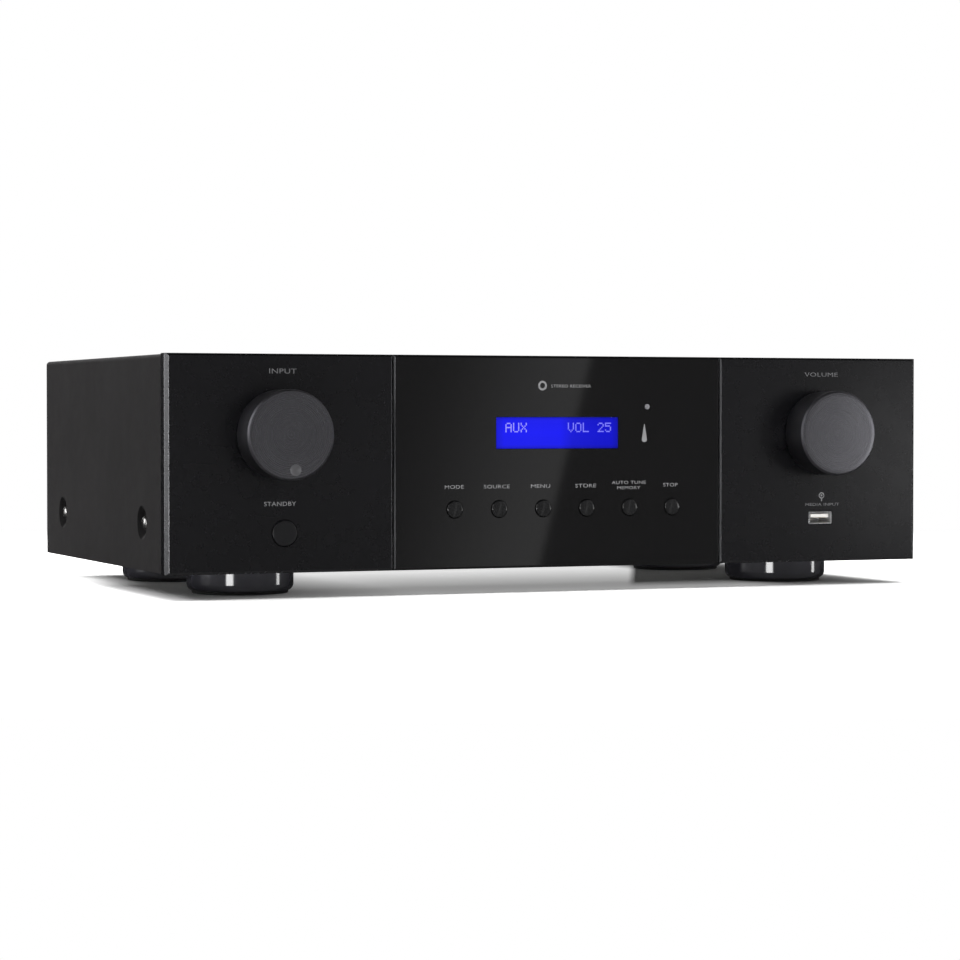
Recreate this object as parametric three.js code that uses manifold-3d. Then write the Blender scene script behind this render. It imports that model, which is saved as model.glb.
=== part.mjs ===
// Stereo receiver, full-width hi-fi component.
// Millimetres, +X to the right seen from the front, +Y from front to rear, +Z up.
// Origin: centre of the overall box, at the plane the feet stand on.
import * as THREE from 'three';
import { mergeVertices } from 'three/addons/utils/BufferGeometryUtils.js';
import Module from 'manifold-3d';

// ---------------------------------------------------------------- driving dimensions
const WIDTH = 430;            // faceplate width
const TOP_Z = 124;            // overall height, feet included
const BODY_Z = 13;            // underside of the body above the floor
const FRONT_Y = -121;         // faceplate front plane
const REAR_Y = 129;           // rear edge of the cover
const KNOB_FACE_Y = -141;     // knob faces, the foremost point
const SOCKET_END_Y = 141;     // rear sockets, the rearmost point
const GAP = 0.3;              // assembly gap between separate pieces

const PLATE_T = 8;            // faceplate thickness
const EDGE_CHAMFER = 2.0;     // outer edges of the faceplates
const SEAM_CHAMFER = 1.0;     // edges beside the centre window
const SEAM_X = 93.6;          // joint between a faceplate and the centre window

const KNOB_X = 155.5;         // knob axes, left and right
const KNOB_Z = 83.1;
const KNOB_R = 22.8;
const SHAFT_R = 3.0;

const STANDBY_X = -152.6, STANDBY_Z = 33.2, STANDBY_R = 6.5;
const BUTTON_X = [-60, -35, -10, 15, 40, 65];
const BUTTON_Z = 44, BUTTON_R = 4.3;

const LENS = { x0: -36.4, x1: 33.2, z0: 75.4, z1: 91.8 };
const LED_X = 50.5, LED_Z = 97.4, LED_R = 1.5;
const USB_X = 155.2, USB_Z = 36.8, USB_W = 14.2, USB_H = 6.8;

const COVER_X = 214.2;        // outer face of the cover's sides
const COVER_T = 1.0;
const DIMPLE_Y = [-75, 91], DIMPLE_Z = 37.9, DIMPLE_R = 8.5, DIMPLE_DEPTH = 2.5;

const FOOT_X = 158, FOOT_FRONT_Y = -63, FOOT_REAR_Y = 64, FOOT_R = 28;

const PANEL_Y0 = 127.5, PANEL_Y1 = 128.7;   // rear panel sheet
const FLANGE_Y = 129.0;                     // socket flanges start here

// ---------------------------------------------------------------- solids
const wasm = await Module();
wasm.setup();

function toSolid(geometry) {
  const g = geometry.clone();
  for (const key of Object.keys(g.attributes)) if (key !== 'position') g.deleteAttribute(key);
  const m = mergeVertices(g, 1e-4);
  const p = m.attributes.position.array;
  for (let i = 0; i < p.length; i++) p[i] = Math.round(p[i] * 1000) / 1000;
  const idx = Array.from(m.index.array);
  let volume = 0;
  for (let i = 0; i < idx.length; i += 3) {
    const [a, b, c] = [idx[i] * 3, idx[i + 1] * 3, idx[i + 2] * 3];
    volume += p[a] * (p[b + 1] * p[c + 2] - p[b + 2] * p[c + 1])
      - p[a + 1] * (p[b] * p[c + 2] - p[b + 2] * p[c])
      + p[a + 2] * (p[b] * p[c + 1] - p[b + 1] * p[c]);
  }
  const tris = [];
  for (let i = 0; i < idx.length; i += 3) {
    const [a, b, c] = [idx[i], idx[i + 1], idx[i + 2]];
    if (a === b || b === c || a === c) continue;
    if (volume > 0) tris.push(a, b, c); else tris.push(a, c, b);
  }
  return new wasm.Manifold(new wasm.Mesh({
    numProp: 3, vertProperties: new Float32Array(p), triVerts: new Uint32Array(tris),
  }));
}

function toGeometry(solid) {
  const mesh = solid.asOriginal().getMesh();
  const g = new THREE.BufferGeometry();
  g.setAttribute('position', new THREE.BufferAttribute(new Float32Array(mesh.vertProperties), 3));
  g.setIndex(new THREE.BufferAttribute(new Uint32Array(mesh.triVerts), 1));
  g.computeVertexNormals();
  return g;
}

const box = (x0, x1, y0, y1, z0, z1) => toSolid(
  new THREE.BoxGeometry(x1 - x0, y1 - y0, z1 - z0)
    .translate((x0 + x1) / 2, (y0 + y1) / 2, (z0 + z1) / 2));

function extrude(points, depth) {
  const shape = new THREE.Shape(points.map(([u, v]) => new THREE.Vector2(u, v)));
  return new THREE.ExtrudeGeometry(shape, { depth, bevelEnabled: false, steps: 1 });
}
// outline in (x, y), from z0 up to z1
const prismZ = (pts, z0, z1) => toSolid(extrude(pts, z1 - z0).translate(0, 0, z0));
// outline in (y, z), from x0 to x1
function prismX(pts, x0, x1) {
  const g = extrude(pts, x1 - x0).translate(0, 0, x0);
  const p = g.attributes.position;
  for (let i = 0; i < p.count; i++) {
    const [u, v, w] = [p.getX(i), p.getY(i), p.getZ(i)];
    p.setXYZ(i, w, u, v);
  }
  return toSolid(g);
}
// outline in (x, z), from y0 to y1
const prismY = (pts, y0, y1) => toSolid(
  extrude(pts, y1 - y0).rotateX(Math.PI / 2).translate(0, y1, 0));

const cylY = (r, y0, y1, x, z, n = 16) => toSolid(
  new THREE.CylinderGeometry(r, r, y1 - y0, n).translate(x, (y0 + y1) / 2, z));
const cylX = (r, x0, x1, y, z, n = 16) => toSolid(
  new THREE.CylinderGeometry(r, r, x1 - x0, n).rotateZ(Math.PI / 2).translate((x0 + x1) / 2, y, z));
const cylZ = (r, z0, z1, x, y, n = 16) => toSolid(
  new THREE.CylinderGeometry(r, r, z1 - z0, n).rotateX(Math.PI / 2).translate(x, y, (z0 + z1) / 2));

// revolved profile of (radius, height) points; axis 'y' or 'z' or 'x'
function turned(profile, n, axis, x, y, z) {
  const pts = profile.map(([r, h]) => new THREE.Vector2(r, h));
  const closed = profile[0][0] > 1e-6 || profile[profile.length - 1][0] > 1e-6;
  if (closed) pts.push(pts[0].clone());
  const g = new THREE.LatheGeometry(pts, n);
  if (axis === 'z') g.rotateX(Math.PI / 2);
  if (axis === 'x') g.rotateZ(-Math.PI / 2);
  return toSolid(g.translate(x, y, z));
}

const join = (...s) => s.reduce((a, b) => a.add(b));
const cut = (a, ...s) => s.reduce((m, b) => m.subtract(b), a);

// ---------------------------------------------------------------- materials
const mat = (color, roughness, metalness) =>
  new THREE.MeshStandardMaterial({ color, roughness, metalness });
const M = {
  anodised: mat(0x202022, 0.45, 0.6),
  gloss: mat(0x08080a, 0.08, 0.0),
  cover: mat(0x35322f, 0.6, 0.3),
  steel: mat(0xa8a8a6, 0.4, 0.9),
  screw: mat(0xd8d8d8, 0.25, 1.0),
  foot: mat(0x0d0d0f, 0.15, 0.5),
  rubber: mat(0x111111, 0.9, 0.0),
  knob: mat(0x3a3a3e, 0.4, 0.6),
  blue: mat(0x1a18ff, 0.2, 0.0),
  board: mat(0x1f4a2c, 0.6, 0.0),
  plastic: mat(0x151515, 0.5, 0.0),
  alu: mat(0x9a9a9c, 0.4, 0.9),
  copper: mat(0xa5672f, 0.4, 0.7),
  tape: mat(0xd9a441, 0.7, 0.0),
  red: mat(0xb3201c, 0.4, 0.0),
  grey: mat(0x9b9b9b, 0.6, 0.0),
};

const receiver = new THREE.Group();
receiver.name = 'stereo_receiver';
const front = new THREE.Group(), casing = new THREE.Group(), inside = new THREE.Group(), rear = new THREE.Group();
receiver.add(front, casing, inside, rear);
function add(group, name, solid, material) {
  const m = new THREE.Mesh(toGeometry(solid), material);
  m.name = name;
  group.add(m);
}

// ---------------------------------------------------------------- front
const PLATE_BACK = FRONT_Y + PLATE_T;
// bevelled front plate between x0 and x1, with its own chamfer at each side
function frontPlate(x0, x1, cl, cr, ct) {
  const plan = prismZ([[x0, PLATE_BACK], [x0, FRONT_Y + cl], [x0 + cl, FRONT_Y],
    [x1 - cr, FRONT_Y], [x1, FRONT_Y + cr], [x1, PLATE_BACK]], BODY_Z, TOP_Z);
  const side = prismX([[PLATE_BACK, BODY_Z], [PLATE_BACK, TOP_Z], [FRONT_Y + ct, TOP_Z],
    [FRONT_Y, TOP_Z - ct], [FRONT_Y, BODY_Z + ct], [FRONT_Y + ct, BODY_Z]], x0 - 1, x1 + 1);
  return plan.intersect(side);
}
const H = WIDTH / 2;
const through = (r, x, z, n = 20) => cylY(r, FRONT_Y - 2, PLATE_BACK + 2, x, z, n);

add(front, 'faceplate_left', cut(
  frontPlate(-H, -SEAM_X - GAP / 2, EDGE_CHAMFER, SEAM_CHAMFER, EDGE_CHAMFER * 0.6),
  through(7.6, -KNOB_X, KNOB_Z, 20), through(STANDBY_R + 0.4, STANDBY_X, STANDBY_Z, 20),
), M.anodised);
add(front, 'faceplate_right', cut(
  frontPlate(SEAM_X + GAP / 2, H, SEAM_CHAMFER, EDGE_CHAMFER, EDGE_CHAMFER * 0.6),
  through(7.6, KNOB_X, KNOB_Z, 20),
  box(USB_X - USB_W / 2 - GAP, USB_X + USB_W / 2 + GAP, FRONT_Y - 2, PLATE_BACK + 2,
    USB_Z - USB_H / 2 - GAP, USB_Z + USB_H / 2 + GAP),
), M.anodised);
add(front, 'display_window', cut(
  frontPlate(-SEAM_X + GAP / 2, SEAM_X - GAP / 2, 0.8, 0.8, EDGE_CHAMFER * 0.6),
  ...BUTTON_X.map((x) => through(BUTTON_R + 0.4, x, BUTTON_Z, 12)),
  box(LENS.x0 - GAP, LENS.x1 + GAP, FRONT_Y - 2, PLATE_BACK + 2, LENS.z0 - GAP, LENS.z1 + GAP),
  through(LED_R + 0.3, LED_X, LED_Z, 12),
), M.gloss);

add(front, 'display_lens', box(LENS.x0, LENS.x1, FRONT_Y + 0.15, FRONT_Y + 2.6, LENS.z0, LENS.z1), M.blue);
const BOARD_Y0 = -103.9, BOARD_Y1 = -102.3;
add(front, 'display_module', join(
  box(LENS.x0 + 0.5, LENS.x1 - 0.5, FRONT_Y + 2.9, -110.5, LENS.z0 + 0.4, LENS.z1 - 0.4),
  box(LENS.x0 - 4, LENS.x1 + 4, -111.1, BOARD_Y0 - GAP, LENS.z0 - 5, LENS.z1 + 5),
), M.steel);
add(front, 'status_led', cylY(LED_R, FRONT_Y + 0.1, BOARD_Y0 - GAP, LED_X, LED_Z, 12), M.grey);

const SUB_Y0 = PLATE_BACK + GAP, SUB_Y1 = SUB_Y0 + 1.2;
const subHole = (r, x, z, n = 16) => cylY(r, SUB_Y0 - 1, SUB_Y1 + 1, x, z, n);
add(casing, 'front_subpanel', cut(
  box(-211, 211, SUB_Y0, SUB_Y1, 14.3, 122.6),
  subHole(4.8, -KNOB_X, KNOB_Z), subHole(4.8, KNOB_X, KNOB_Z),
  ...BUTTON_X.map((x) => subHole(6.0, x, BUTTON_Z, 8)),
  subHole(8.4, STANDBY_X, STANDBY_Z, 20),
  subHole(2.2, LED_X, LED_Z, 10),
  box(LENS.x0 - 0.2, LENS.x1 + 0.2, SUB_Y0 - 1, SUB_Y1 + 1, LENS.z0 - 0.2, LENS.z1 + 0.2),
  box(USB_X - USB_W / 2 - 0.4, USB_X + USB_W / 2 + 0.4, SUB_Y0 - 1, SUB_Y1 + 1,
    USB_Z - USB_H / 2 - 0.4, USB_Z + USB_H / 2 + 0.4),
), M.steel);

// knobs: turned, with a recess at the back that clears the encoder nut
const KNOB_BACK_Y = FRONT_Y - 0.8;
function knob(x) {
  const L = KNOB_BACK_Y - KNOB_FACE_Y;
  return turned([
    [0, 0], [KNOB_R - 0.9, 0], [KNOB_R, 0.9], [KNOB_R, L],
    [11, L], [11, L - 6], [SHAFT_R + 0.3, L - 6], [SHAFT_R + 0.3, 5], [0, 5],
  ], 36, 'y', x, KNOB_FACE_Y, KNOB_Z);
}
const dimple = toSolid(new THREE.SphereGeometry(5.2, 14, 10)
  .translate(-KNOB_X + 2.2, KNOB_FACE_Y - 4.3, KNOB_Z - 17.6));
add(front, 'selector_knob', cut(knob(-KNOB_X), dimple), M.knob);
add(front, 'volume_knob', knob(KNOB_X), M.knob);
for (const [name, x] of [['selector', -KNOB_X], ['volume', KNOB_X]]) {
  add(front, `${name}_shaft`, cylY(SHAFT_R, KNOB_FACE_Y + 5.4, -105.6, x, KNOB_Z, 16), M.steel);
  const bore = cylY(SHAFT_R + 0.3, -118.5, -105.2, x, KNOB_Z, 16);
  add(front, `${name}_encoder`, cut(join(
    box(x - 7, x + 7, -111.2, BOARD_Y0 - GAP, KNOB_Z - 7, KNOB_Z + 7),
    cylY(4.4, -117.6, -110.5, x, KNOB_Z, 20),
  ), bore), M.steel);
  const hex = [];
  for (let i = 0; i < 6; i++) hex.push([x + 6.9 * Math.cos(i * Math.PI / 3), KNOB_Z + 6.9 * Math.sin(i * Math.PI / 3)]);
  add(front, `${name}_encoder_nut`, cut(prismY(hex, -115.0, -113.0),
    cylY(4.7, -116, -112, x, KNOB_Z, 20)), M.screw);
}

// push buttons: cap through the window, retaining flange behind it, plunger to its switch
function pushButton(x, z, r, proud, flange, n) {
  return turned([
    [0, 0], [r - 0.4, 0], [r, 0.4], [r, 121 + proud - 112.55], [flange, 121 + proud - 112.55],
    [flange, 121 + proud - 111.55], [1.6, 121 + proud - 111.55], [1.6, 121 + proud - 108.7], [0, 121 + proud - 108.7],
  ], n, 'y', x, FRONT_Y - proud, z);
}
BUTTON_X.forEach((x, i) => add(front, `function_button_${i + 1}`,
  pushButton(x, BUTTON_Z, BUTTON_R, 1.1, 5.3, 12), M.plastic));
add(front, 'standby_button', pushButton(STANDBY_X, STANDBY_Z, STANDBY_R, 0.8, 7.8, 20), M.plastic);

add(inside, 'front_board', join(
  box(-178, 178, BOARD_Y0, BOARD_Y1, 24, 106),
  ...BUTTON_X.map((x) => box(x - 3, x + 3, -107.6, BOARD_Y0 + 0.5, BUTTON_Z - 3, BUTTON_Z + 3)),
  box(STANDBY_X - 3, STANDBY_X + 3, -107.4, BOARD_Y0 + 0.5, STANDBY_Z - 3, STANDBY_Z + 3),
  box(-20, 14, BOARD_Y1 - 0.5, -98, 60, 68),
  box(-90, -74, BOARD_Y1 - 0.5, -99.5, 70, 86),
), M.board);

// USB receptacle: rectangular shell open to the front, with the contact tongue inside
add(front, 'usb_socket', join(cut(
  box(USB_X - USB_W / 2, USB_X + USB_W / 2, FRONT_Y + 0.1, BOARD_Y0 - GAP, USB_Z - USB_H / 2, USB_Z + USB_H / 2),
  box(USB_X - USB_W / 2 + 0.7, USB_X + USB_W / 2 - 0.7, FRONT_Y - 1, -107.5, USB_Z - USB_H / 2 + 0.7, USB_Z + USB_H / 2 - 0.7),
), box(USB_X - 5.4, USB_X + 5.4, FRONT_Y + 1.2, -107, USB_Z + 0.3, USB_Z + 2.0)), M.screw);

// ---------------------------------------------------------------- casing
const screwHoleY = (y, s) => cylX(2.0, Math.min(s * 205, s * 216), Math.max(s * 205, s * 216), y, DIMPLE_Z, 12);
// tray with turned-up sides, a front and a rear lip, board pillars and floor vents
const FLANGE_X = 210.4;      // outer face of the tray's sides, 0.3 inside the cover's dimples
const tray = join(
  cut(box(-FLANGE_X, FLANGE_X, -111.2, 127.2, 14, 48),
    box(-FLANGE_X + 1.2, FLANGE_X - 1.2, -110.0, 126.0, 15.2, 60),
    box(-FLANGE_X + 1.2, FLANGE_X - 1.2, -130, 140, 24, 60)),
  ...[[-64, -44], [94, -44], [-64, 89], [94, 89]].map(([x, y]) => cylZ(3.5, 14.6, 24.7, x, y, 8)),
);
const floorVents = [];
for (let i = 0; i < 9; i++) floorVents.push(box(-52 + i * 16, -48 + i * 16, -30, 25, 12, 17));
add(casing, 'chassis_base', cut(tray,
  ...DIMPLE_Y.flatMap((y) => [screwHoleY(y, -1), screwHoleY(y, 1)]),
  ...[[-1, FOOT_FRONT_Y], [1, FOOT_FRONT_Y], [-1, FOOT_REAR_Y], [1, FOOT_REAR_Y]]
    .map(([s, y]) => cylZ(2.2, 12, 17, s * FOOT_X, y, 10)),
  ...floorVents,
), M.steel);

// folded cover: top and two sides, with pressed screw dimples and cooling slots
const coverOuter = box(-COVER_X, COVER_X, SUB_Y0, REAR_Y, BODY_Z + 0.4, TOP_Z - 0.3);
const coverInner = box(-COVER_X + COVER_T, COVER_X - COVER_T, SUB_Y0 - 1, REAR_Y + 1, BODY_Z - 3, TOP_Z - 0.3 - COVER_T);
let cover = cut(coverOuter, coverInner);
for (const s of [-1, 1]) for (const y of DIMPLE_Y) {
  const bump = turned([[0, 0.5], [DIMPLE_R + 0.5, 0.5], [DIMPLE_R + 0.5, 0.8], [5.2, DIMPLE_DEPTH + COVER_T],
    [0, DIMPLE_DEPTH + COVER_T]], 20, 'x', 0, 0, 0);
  const hollow = turned([[0, -1], [DIMPLE_R + 1.64, -1], [4.4, DIMPLE_DEPTH], [0, DIMPLE_DEPTH]], 20, 'x', 0, 0, 0);
  // the profile's height runs along +X; it is turned round for the right-hand side
  const place = (m) => (s < 0 ? m : m.rotate([0, 0, 180])).translate([s * COVER_X, y, DIMPLE_Z]);
  cover = cover.add(place(bump));
  cover = cut(cover, place(hollow), screwHoleY(y, s));
}
const slot = (x, y0, y1, w = 1.8) => box(x - w, x + w, y0, y1, TOP_Z - 5, TOP_Z + 5);
const vents = [];
for (let i = 0; i < 11; i++) vents.push(slot(-60 + i * 15, -92, -40), slot(-66 + i * 15, 30, 82));
add(casing, 'top_cover', cut(cover, ...vents), M.cover);

// cover screws, pan head, pointing inwards
for (const [side, s] of [['left', -1], ['right', 1]]) for (const [end, y] of [['front', DIMPLE_Y[0]], ['rear', DIMPLE_Y[1]]]) {
  const seat = COVER_X - DIMPLE_DEPTH;                 // floor of the dimple
  const screw = turned([[0, -2.4], [2.2, -2.2], [3.3, -1.2], [3.3, -GAP], [1.6, -GAP], [1.6, 7], [0, 7]],
    10, 'x', 0, 0, 0);
  add(casing, `cover_screw_${end}_${side}`,
    (s < 0 ? screw : screw.rotate([0, 0, 180])).translate([s * seat, y, DIMPLE_Z]), M.screw);
}

// rear panel
const JACK_X = [56, 76, 96, 116], JACK_Z = [58, 80];
const INLET_X = -168, INLET_Z = 58, SWITCH_X = -128, SWITCH_Z = 58;
const SPK = { x0: -80, x1: -4, z0: 50, z1: 90, levers: [-70, -51, -33, -14] };
const ANT_X = 160, ANT_Z = 70;
const panelHole = (r, x, z, n = 16) => cylY(r, PANEL_Y0 - 1, PANEL_Y1 + 1, x, z, n);
const panelBox = (x0, x1, z0, z1) => box(x0, x1, PANEL_Y0 - 1, PANEL_Y1 + 1, z0, z1);
add(casing, 'rear_panel', cut(
  box(-212.9, 212.9, PANEL_Y0, PANEL_Y1, 14.3, 122.4),
  panelBox(INLET_X - 14.3, INLET_X + 14.3, INLET_Z - 10.6, INLET_Z + 10.6),
  panelBox(SWITCH_X - 9.8, SWITCH_X + 9.8, SWITCH_Z - 13.8, SWITCH_Z + 13.8),
  ...JACK_X.flatMap((x) => JACK_Z.map((z) => panelHole(4.7, x, z, 12))),
  panelBox(SPK.x0 + 0.7, SPK.x1 - 0.7, SPK.z0 + 0.7, SPK.z1 - 0.7),
  panelHole(5.2, ANT_X, ANT_Z, 16),
), M.cover);

// feet: turned gloss bodies with a ring groove for the rubber pad and a screw well
const feet = [['front_left', -1, FOOT_FRONT_Y], ['front_right', 1, FOOT_FRONT_Y],
  ['rear_left', -1, FOOT_REAR_Y], ['rear_right', 1, FOOT_REAR_Y]];
for (const [name, s, y] of feet) {
  add(casing, `foot_${name}`, turned([
    [2.3, 13.7], [FOOT_R, 13.7], [FOOT_R, 3.8], [FOOT_R - 2.0, 1.4],
    [25.5, 1.4], [25.5, 3.3], [11.7, 3.3], [11.7, 1.4], [2.3, 1.4],
  ], 20, 'z', s * FOOT_X, y, 0), M.foot);
  add(casing, `foot_pad_${name}`, turned([[12, 0], [25.2, 0], [25.2, 3.0], [12, 3.0]], 20, 'z', s * FOOT_X, y, 0), M.rubber);
}

// ---------------------------------------------------------------- inside
const TOROID = { x: -140, y: 20, R: 50, r: 17, z0: 15.8, z1: 62 };
add(inside, 'toroid_transformer', turned([
  [TOROID.r, TOROID.z0], [TOROID.R - 8, TOROID.z0], [TOROID.R, TOROID.z0 + 8],
  [TOROID.R, TOROID.z1 - 8], [TOROID.R - 8, TOROID.z1], [TOROID.r, TOROID.z1],
], 20, 'z', TOROID.x, TOROID.y, 0), M.tape);
add(inside, 'transformer_clamp', turned([
  [4.4, TOROID.z1 - 1.5], [14, TOROID.z1 - 1.5], [17, TOROID.z1 + 0.5], [33, TOROID.z1 + 0.5], [33, TOROID.z1 + 2.2],
  [16, TOROID.z1 + 2.2], [13, TOROID.z1 + 0.3], [4.4, TOROID.z1 + 0.3],
], 16, 'z', TOROID.x, TOROID.y, 0), M.steel);
const boltHex = [];
for (let i = 0; i < 6; i++) boltHex.push([TOROID.x + 7.5 * Math.cos(i * Math.PI / 3), TOROID.y + 7.5 * Math.sin(i * Math.PI / 3)]);
add(inside, 'transformer_bolt', join(cylZ(4, 15.5, TOROID.z1 + 10, TOROID.x, TOROID.y, 12),
  prismZ(boltHex, TOROID.z1 + 0.7, TOROID.z1 + 6)), M.screw);

add(inside, 'main_board', join(
  box(-70, 100, -50, 95, 25, 26.6),
  box(-60, -38, -30, -8, 26, 40), box(-28, -10, -30, -12, 26, 38), box(70, 92, -30, 10, 26, 36),
  box(10, 30, 60, 88, 26, 44), box(60, 92, 70, 90, 26, 34),
), M.board);
for (const [i, y] of [[1, 20], [2, 62]]) {
  add(inside, `filter_capacitor_${i}`, turned([
    [0, 26.9], [17.5, 26.9], [17.5, 30], [16.9, 31], [17.5, 32], [17.5, 72], [0, 72],
  ], 16, 'z', -34, y, 0), M.plastic);
}
// comb-shaped heatsink, fins to the front
const comb = [[-70, -56], [-70, -90]];
for (let i = 0; i < 13; i++) {
  const x = -70 + i * 13.9;
  if (i > 0) comb.push([x, -62], [x, -90]);
  comb.push([x + 2, -90], [x + 2, -62]);
}
comb.push([100, -62], [100, -56]);
add(inside, 'heatsink', prismZ(comb, 15.6, 92), M.alu);
add(inside, 'power_module', join(
  box(-58, 88, -55.7, -53.7, 52, 58),
  ...[-50, -12, 26, 64].map((x) => box(x, x + 16, -55.7, -51.2, 34, 54)),
), M.plastic);
add(inside, 'input_board', join(
  box(36, 148, 103.4, 105, 40, 100),
  box(50, 66, 96, 104, 50, 64), box(80, 96, 96, 104, 50, 64), box(104, 116, 99, 104, 74, 86),
), M.board);
add(inside, 'tuner_module', cut(
  box(150.5, 198, 84, 102.5, 52, 88).add(box(152, 162, 102, 107, 60, 80)),
  box(154, 172, 83, 85, 56, 84), box(176, 194, 83, 85, 56, 84),
), M.steel);
// flat ribbon from the front board to the input board
const ribbonCurve = new THREE.CatmullRomCurve3([
  [-101.9, 52], [-96, 52.5], [-86, 60], [-60, 70], [-10, 74], [40, 72], [76, 66], [88, 58], [96, 52.5], [103.0, 52],
].map(([y, z]) => new THREE.Vector3(y, z, 0)), false, 'catmullrom', 0.5);
const rib = ribbonCurve.getPoints(14);
const ribTop = [], ribBottom = [];
rib.forEach((p, i) => {
  const a = rib[Math.max(0, i - 1)], b = rib[Math.min(rib.length - 1, i + 1)];
  const t = new THREE.Vector2(b.x - a.x, b.y - a.y).normalize();
  const v = i === 0 || i === rib.length - 1 ? [0, 1] : [-t.y, t.x];
  ribTop.push([p.x + v[0] * 0.45, p.y + v[1] * 0.45]);
  ribBottom.unshift([p.x - v[0] * 0.45, p.y - v[1] * 0.45]);
});
add(inside, 'ribbon_cable', prismX([...ribTop, ...ribBottom], 118, 144), M.grey);

// ---------------------------------------------------------------- rear sockets
// mains inlet: flanged shroud with a recess and three flat pins
const inletRecess = prismY([[INLET_X - 12.2, INLET_Z - 8], [INLET_X + 12.2, INLET_Z - 8], [INLET_X + 12.2, INLET_Z + 3],
  [INLET_X + 7.2, INLET_Z + 8], [INLET_X - 7.2, INLET_Z + 8], [INLET_X - 12.2, INLET_Z + 3]], 113, 140);
add(rear, 'mains_inlet', join(cut(join(
  box(INLET_X - 20, INLET_X + 20, FLANGE_Y, FLANGE_Y + 2.4, INLET_Z - 13.5, INLET_Z + 13.5),
  box(INLET_X - 14, INLET_X + 14, 107, FLANGE_Y + 1, INLET_Z - 10.3, INLET_Z + 10.3),
), inletRecess),
  box(INLET_X - 8, INLET_X - 6, 112, 125.6, INLET_Z - 4.5, INLET_Z - 0.5),
  box(INLET_X + 6, INLET_X + 8, 112, 125.6, INLET_Z - 4.5, INLET_Z - 0.5),
  box(INLET_X - 1, INLET_X + 1, 112, 125.6, INLET_Z + 0.5, INLET_Z + 4.5),
), M.plastic);

// mains rocker switch
const ROCKER_Y = 126.5;
add(rear, 'mains_switch_housing', cut(join(
  box(SWITCH_X - 11.5, SWITCH_X + 11.5, FLANGE_Y, FLANGE_Y + 2.2, SWITCH_Z - 15.5, SWITCH_Z + 15.5),
  box(SWITCH_X - 9.5, SWITCH_X + 9.5, 112, FLANGE_Y + 1, SWITCH_Z - 13.5, SWITCH_Z + 13.5),
), box(SWITCH_X - 7.7, SWITCH_X + 7.7, 117.5, 140, SWITCH_Z - 12, SWITCH_Z + 12),
cylX(1.7, SWITCH_X - 8.9, SWITCH_X + 8.9, ROCKER_Y, SWITCH_Z, 12)), M.plastic);
const tilt = (8 * Math.PI) / 180;
const rockerOutline = [[132.2, 10.4], [124, 9], [121.5, 3], [121.5, -3], [124, -9], [132.2, -10.4], [130.8, -5], [130.3, 0], [130.8, 5]]
  .map(([y, z]) => {
    const dy = y - ROCKER_Y;
    return [ROCKER_Y + dy * Math.cos(tilt) - z * Math.sin(tilt), SWITCH_Z + dy * Math.sin(tilt) + z * Math.cos(tilt)];
  });
add(rear, 'mains_rocker', join(
  prismX(rockerOutline, SWITCH_X - 7.3, SWITCH_X + 7.3),
  cylX(1.3, SWITCH_X - 8.5, SWITCH_X + 8.5, ROCKER_Y, SWITCH_Z, 12),
), M.plastic);

// phono jacks: one moulded block with eight barrels through the panel
add(rear, 'input_jack_block', cut(join(
  box(JACK_X[0] - 10, JACK_X[3] + 10, 105.4, 127.2, JACK_Z[0] - 10, JACK_Z[1] + 10),
  ...JACK_X.flatMap((x) => JACK_Z.map((z) => turned([
    [0, 0], [4.2, 0], [4.2, 11.7], [0, 11.7]], 10, 'y', x, 126.5, z))),
), ...JACK_X.flatMap((x) => JACK_Z.map((z) => cylY(1.7, 130, 145, x, z, 6)))), M.plastic);

// speaker terminals: block with four pockets, each with a sprung lever
const PIVOT_Y = 132, PIVOT_Z = 61.5;
add(rear, 'speaker_terminal_block', cut(join(
  box(SPK.x0 - 4, SPK.x1 + 4, FLANGE_Y, FLANGE_Y + 1.8, SPK.z0 - 3, SPK.z1 + 3),
  box(SPK.x0, SPK.x1, FLANGE_Y, 135, SPK.z0, SPK.z1),
  box(SPK.x0 + 1, SPK.x1 - 1, 117, FLANGE_Y + 1, SPK.z0 + 1, SPK.z1 - 1),
), ...SPK.levers.flatMap((x) => [
  box(x - 6.7, x + 6.7, 129.4, 140, 57.6, 77),
  cylY(1.8, 121, 140, x, 83, 8),
  cylX(1.4, x - 8.3, x + 8.3, PIVOT_Y, PIVOT_Z, 10),
])), M.plastic);
SPK.levers.forEach((x, i) => {
  const d = [Math.SQRT1_2, Math.SQRT1_2], n = [-Math.SQRT1_2, Math.SQRT1_2];
  const at = (u, v) => [PIVOT_Y + d[0] * u + n[0] * v, PIVOT_Z + d[1] * u + n[1] * v];
  const outline = [at(-1.2, -1.2), at(0.8, -1.6), at(9.6, -1.3), at(11.0, -0.9), at(11.2, 0.2), at(10.7, 1.4), at(0.6, 1.7), at(-1.2, 1.2), at(-1.8, 0)];
  add(rear, `speaker_lever_${i + 1}`, join(
    prismX(outline, x - 6.3, x + 6.3),
    cylX(1.0, x - 7.8, x + 7.8, PIVOT_Y, PIVOT_Z, 10),
  ), i % 2 ? M.red : M.plastic);
});

// antenna socket: threaded coaxial barrel on a small plate
add(rear, 'antenna_socket', cut(join(
  turned([[0, 0], [4.8, 0], [4.8, 32], [0, 32]], 16, 'y', ANT_X, 109, ANT_Z),
  box(ANT_X - 10, ANT_X + 10, FLANGE_Y, FLANGE_Y + 1.5, ANT_Z - 10, ANT_Z + 10),
), cylY(1.9, 130, 145, ANT_X, ANT_Z, 10)), M.screw);

export default receiver;
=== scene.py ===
import bpy, bmesh, math
from mathutils import Vector, Matrix


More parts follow.
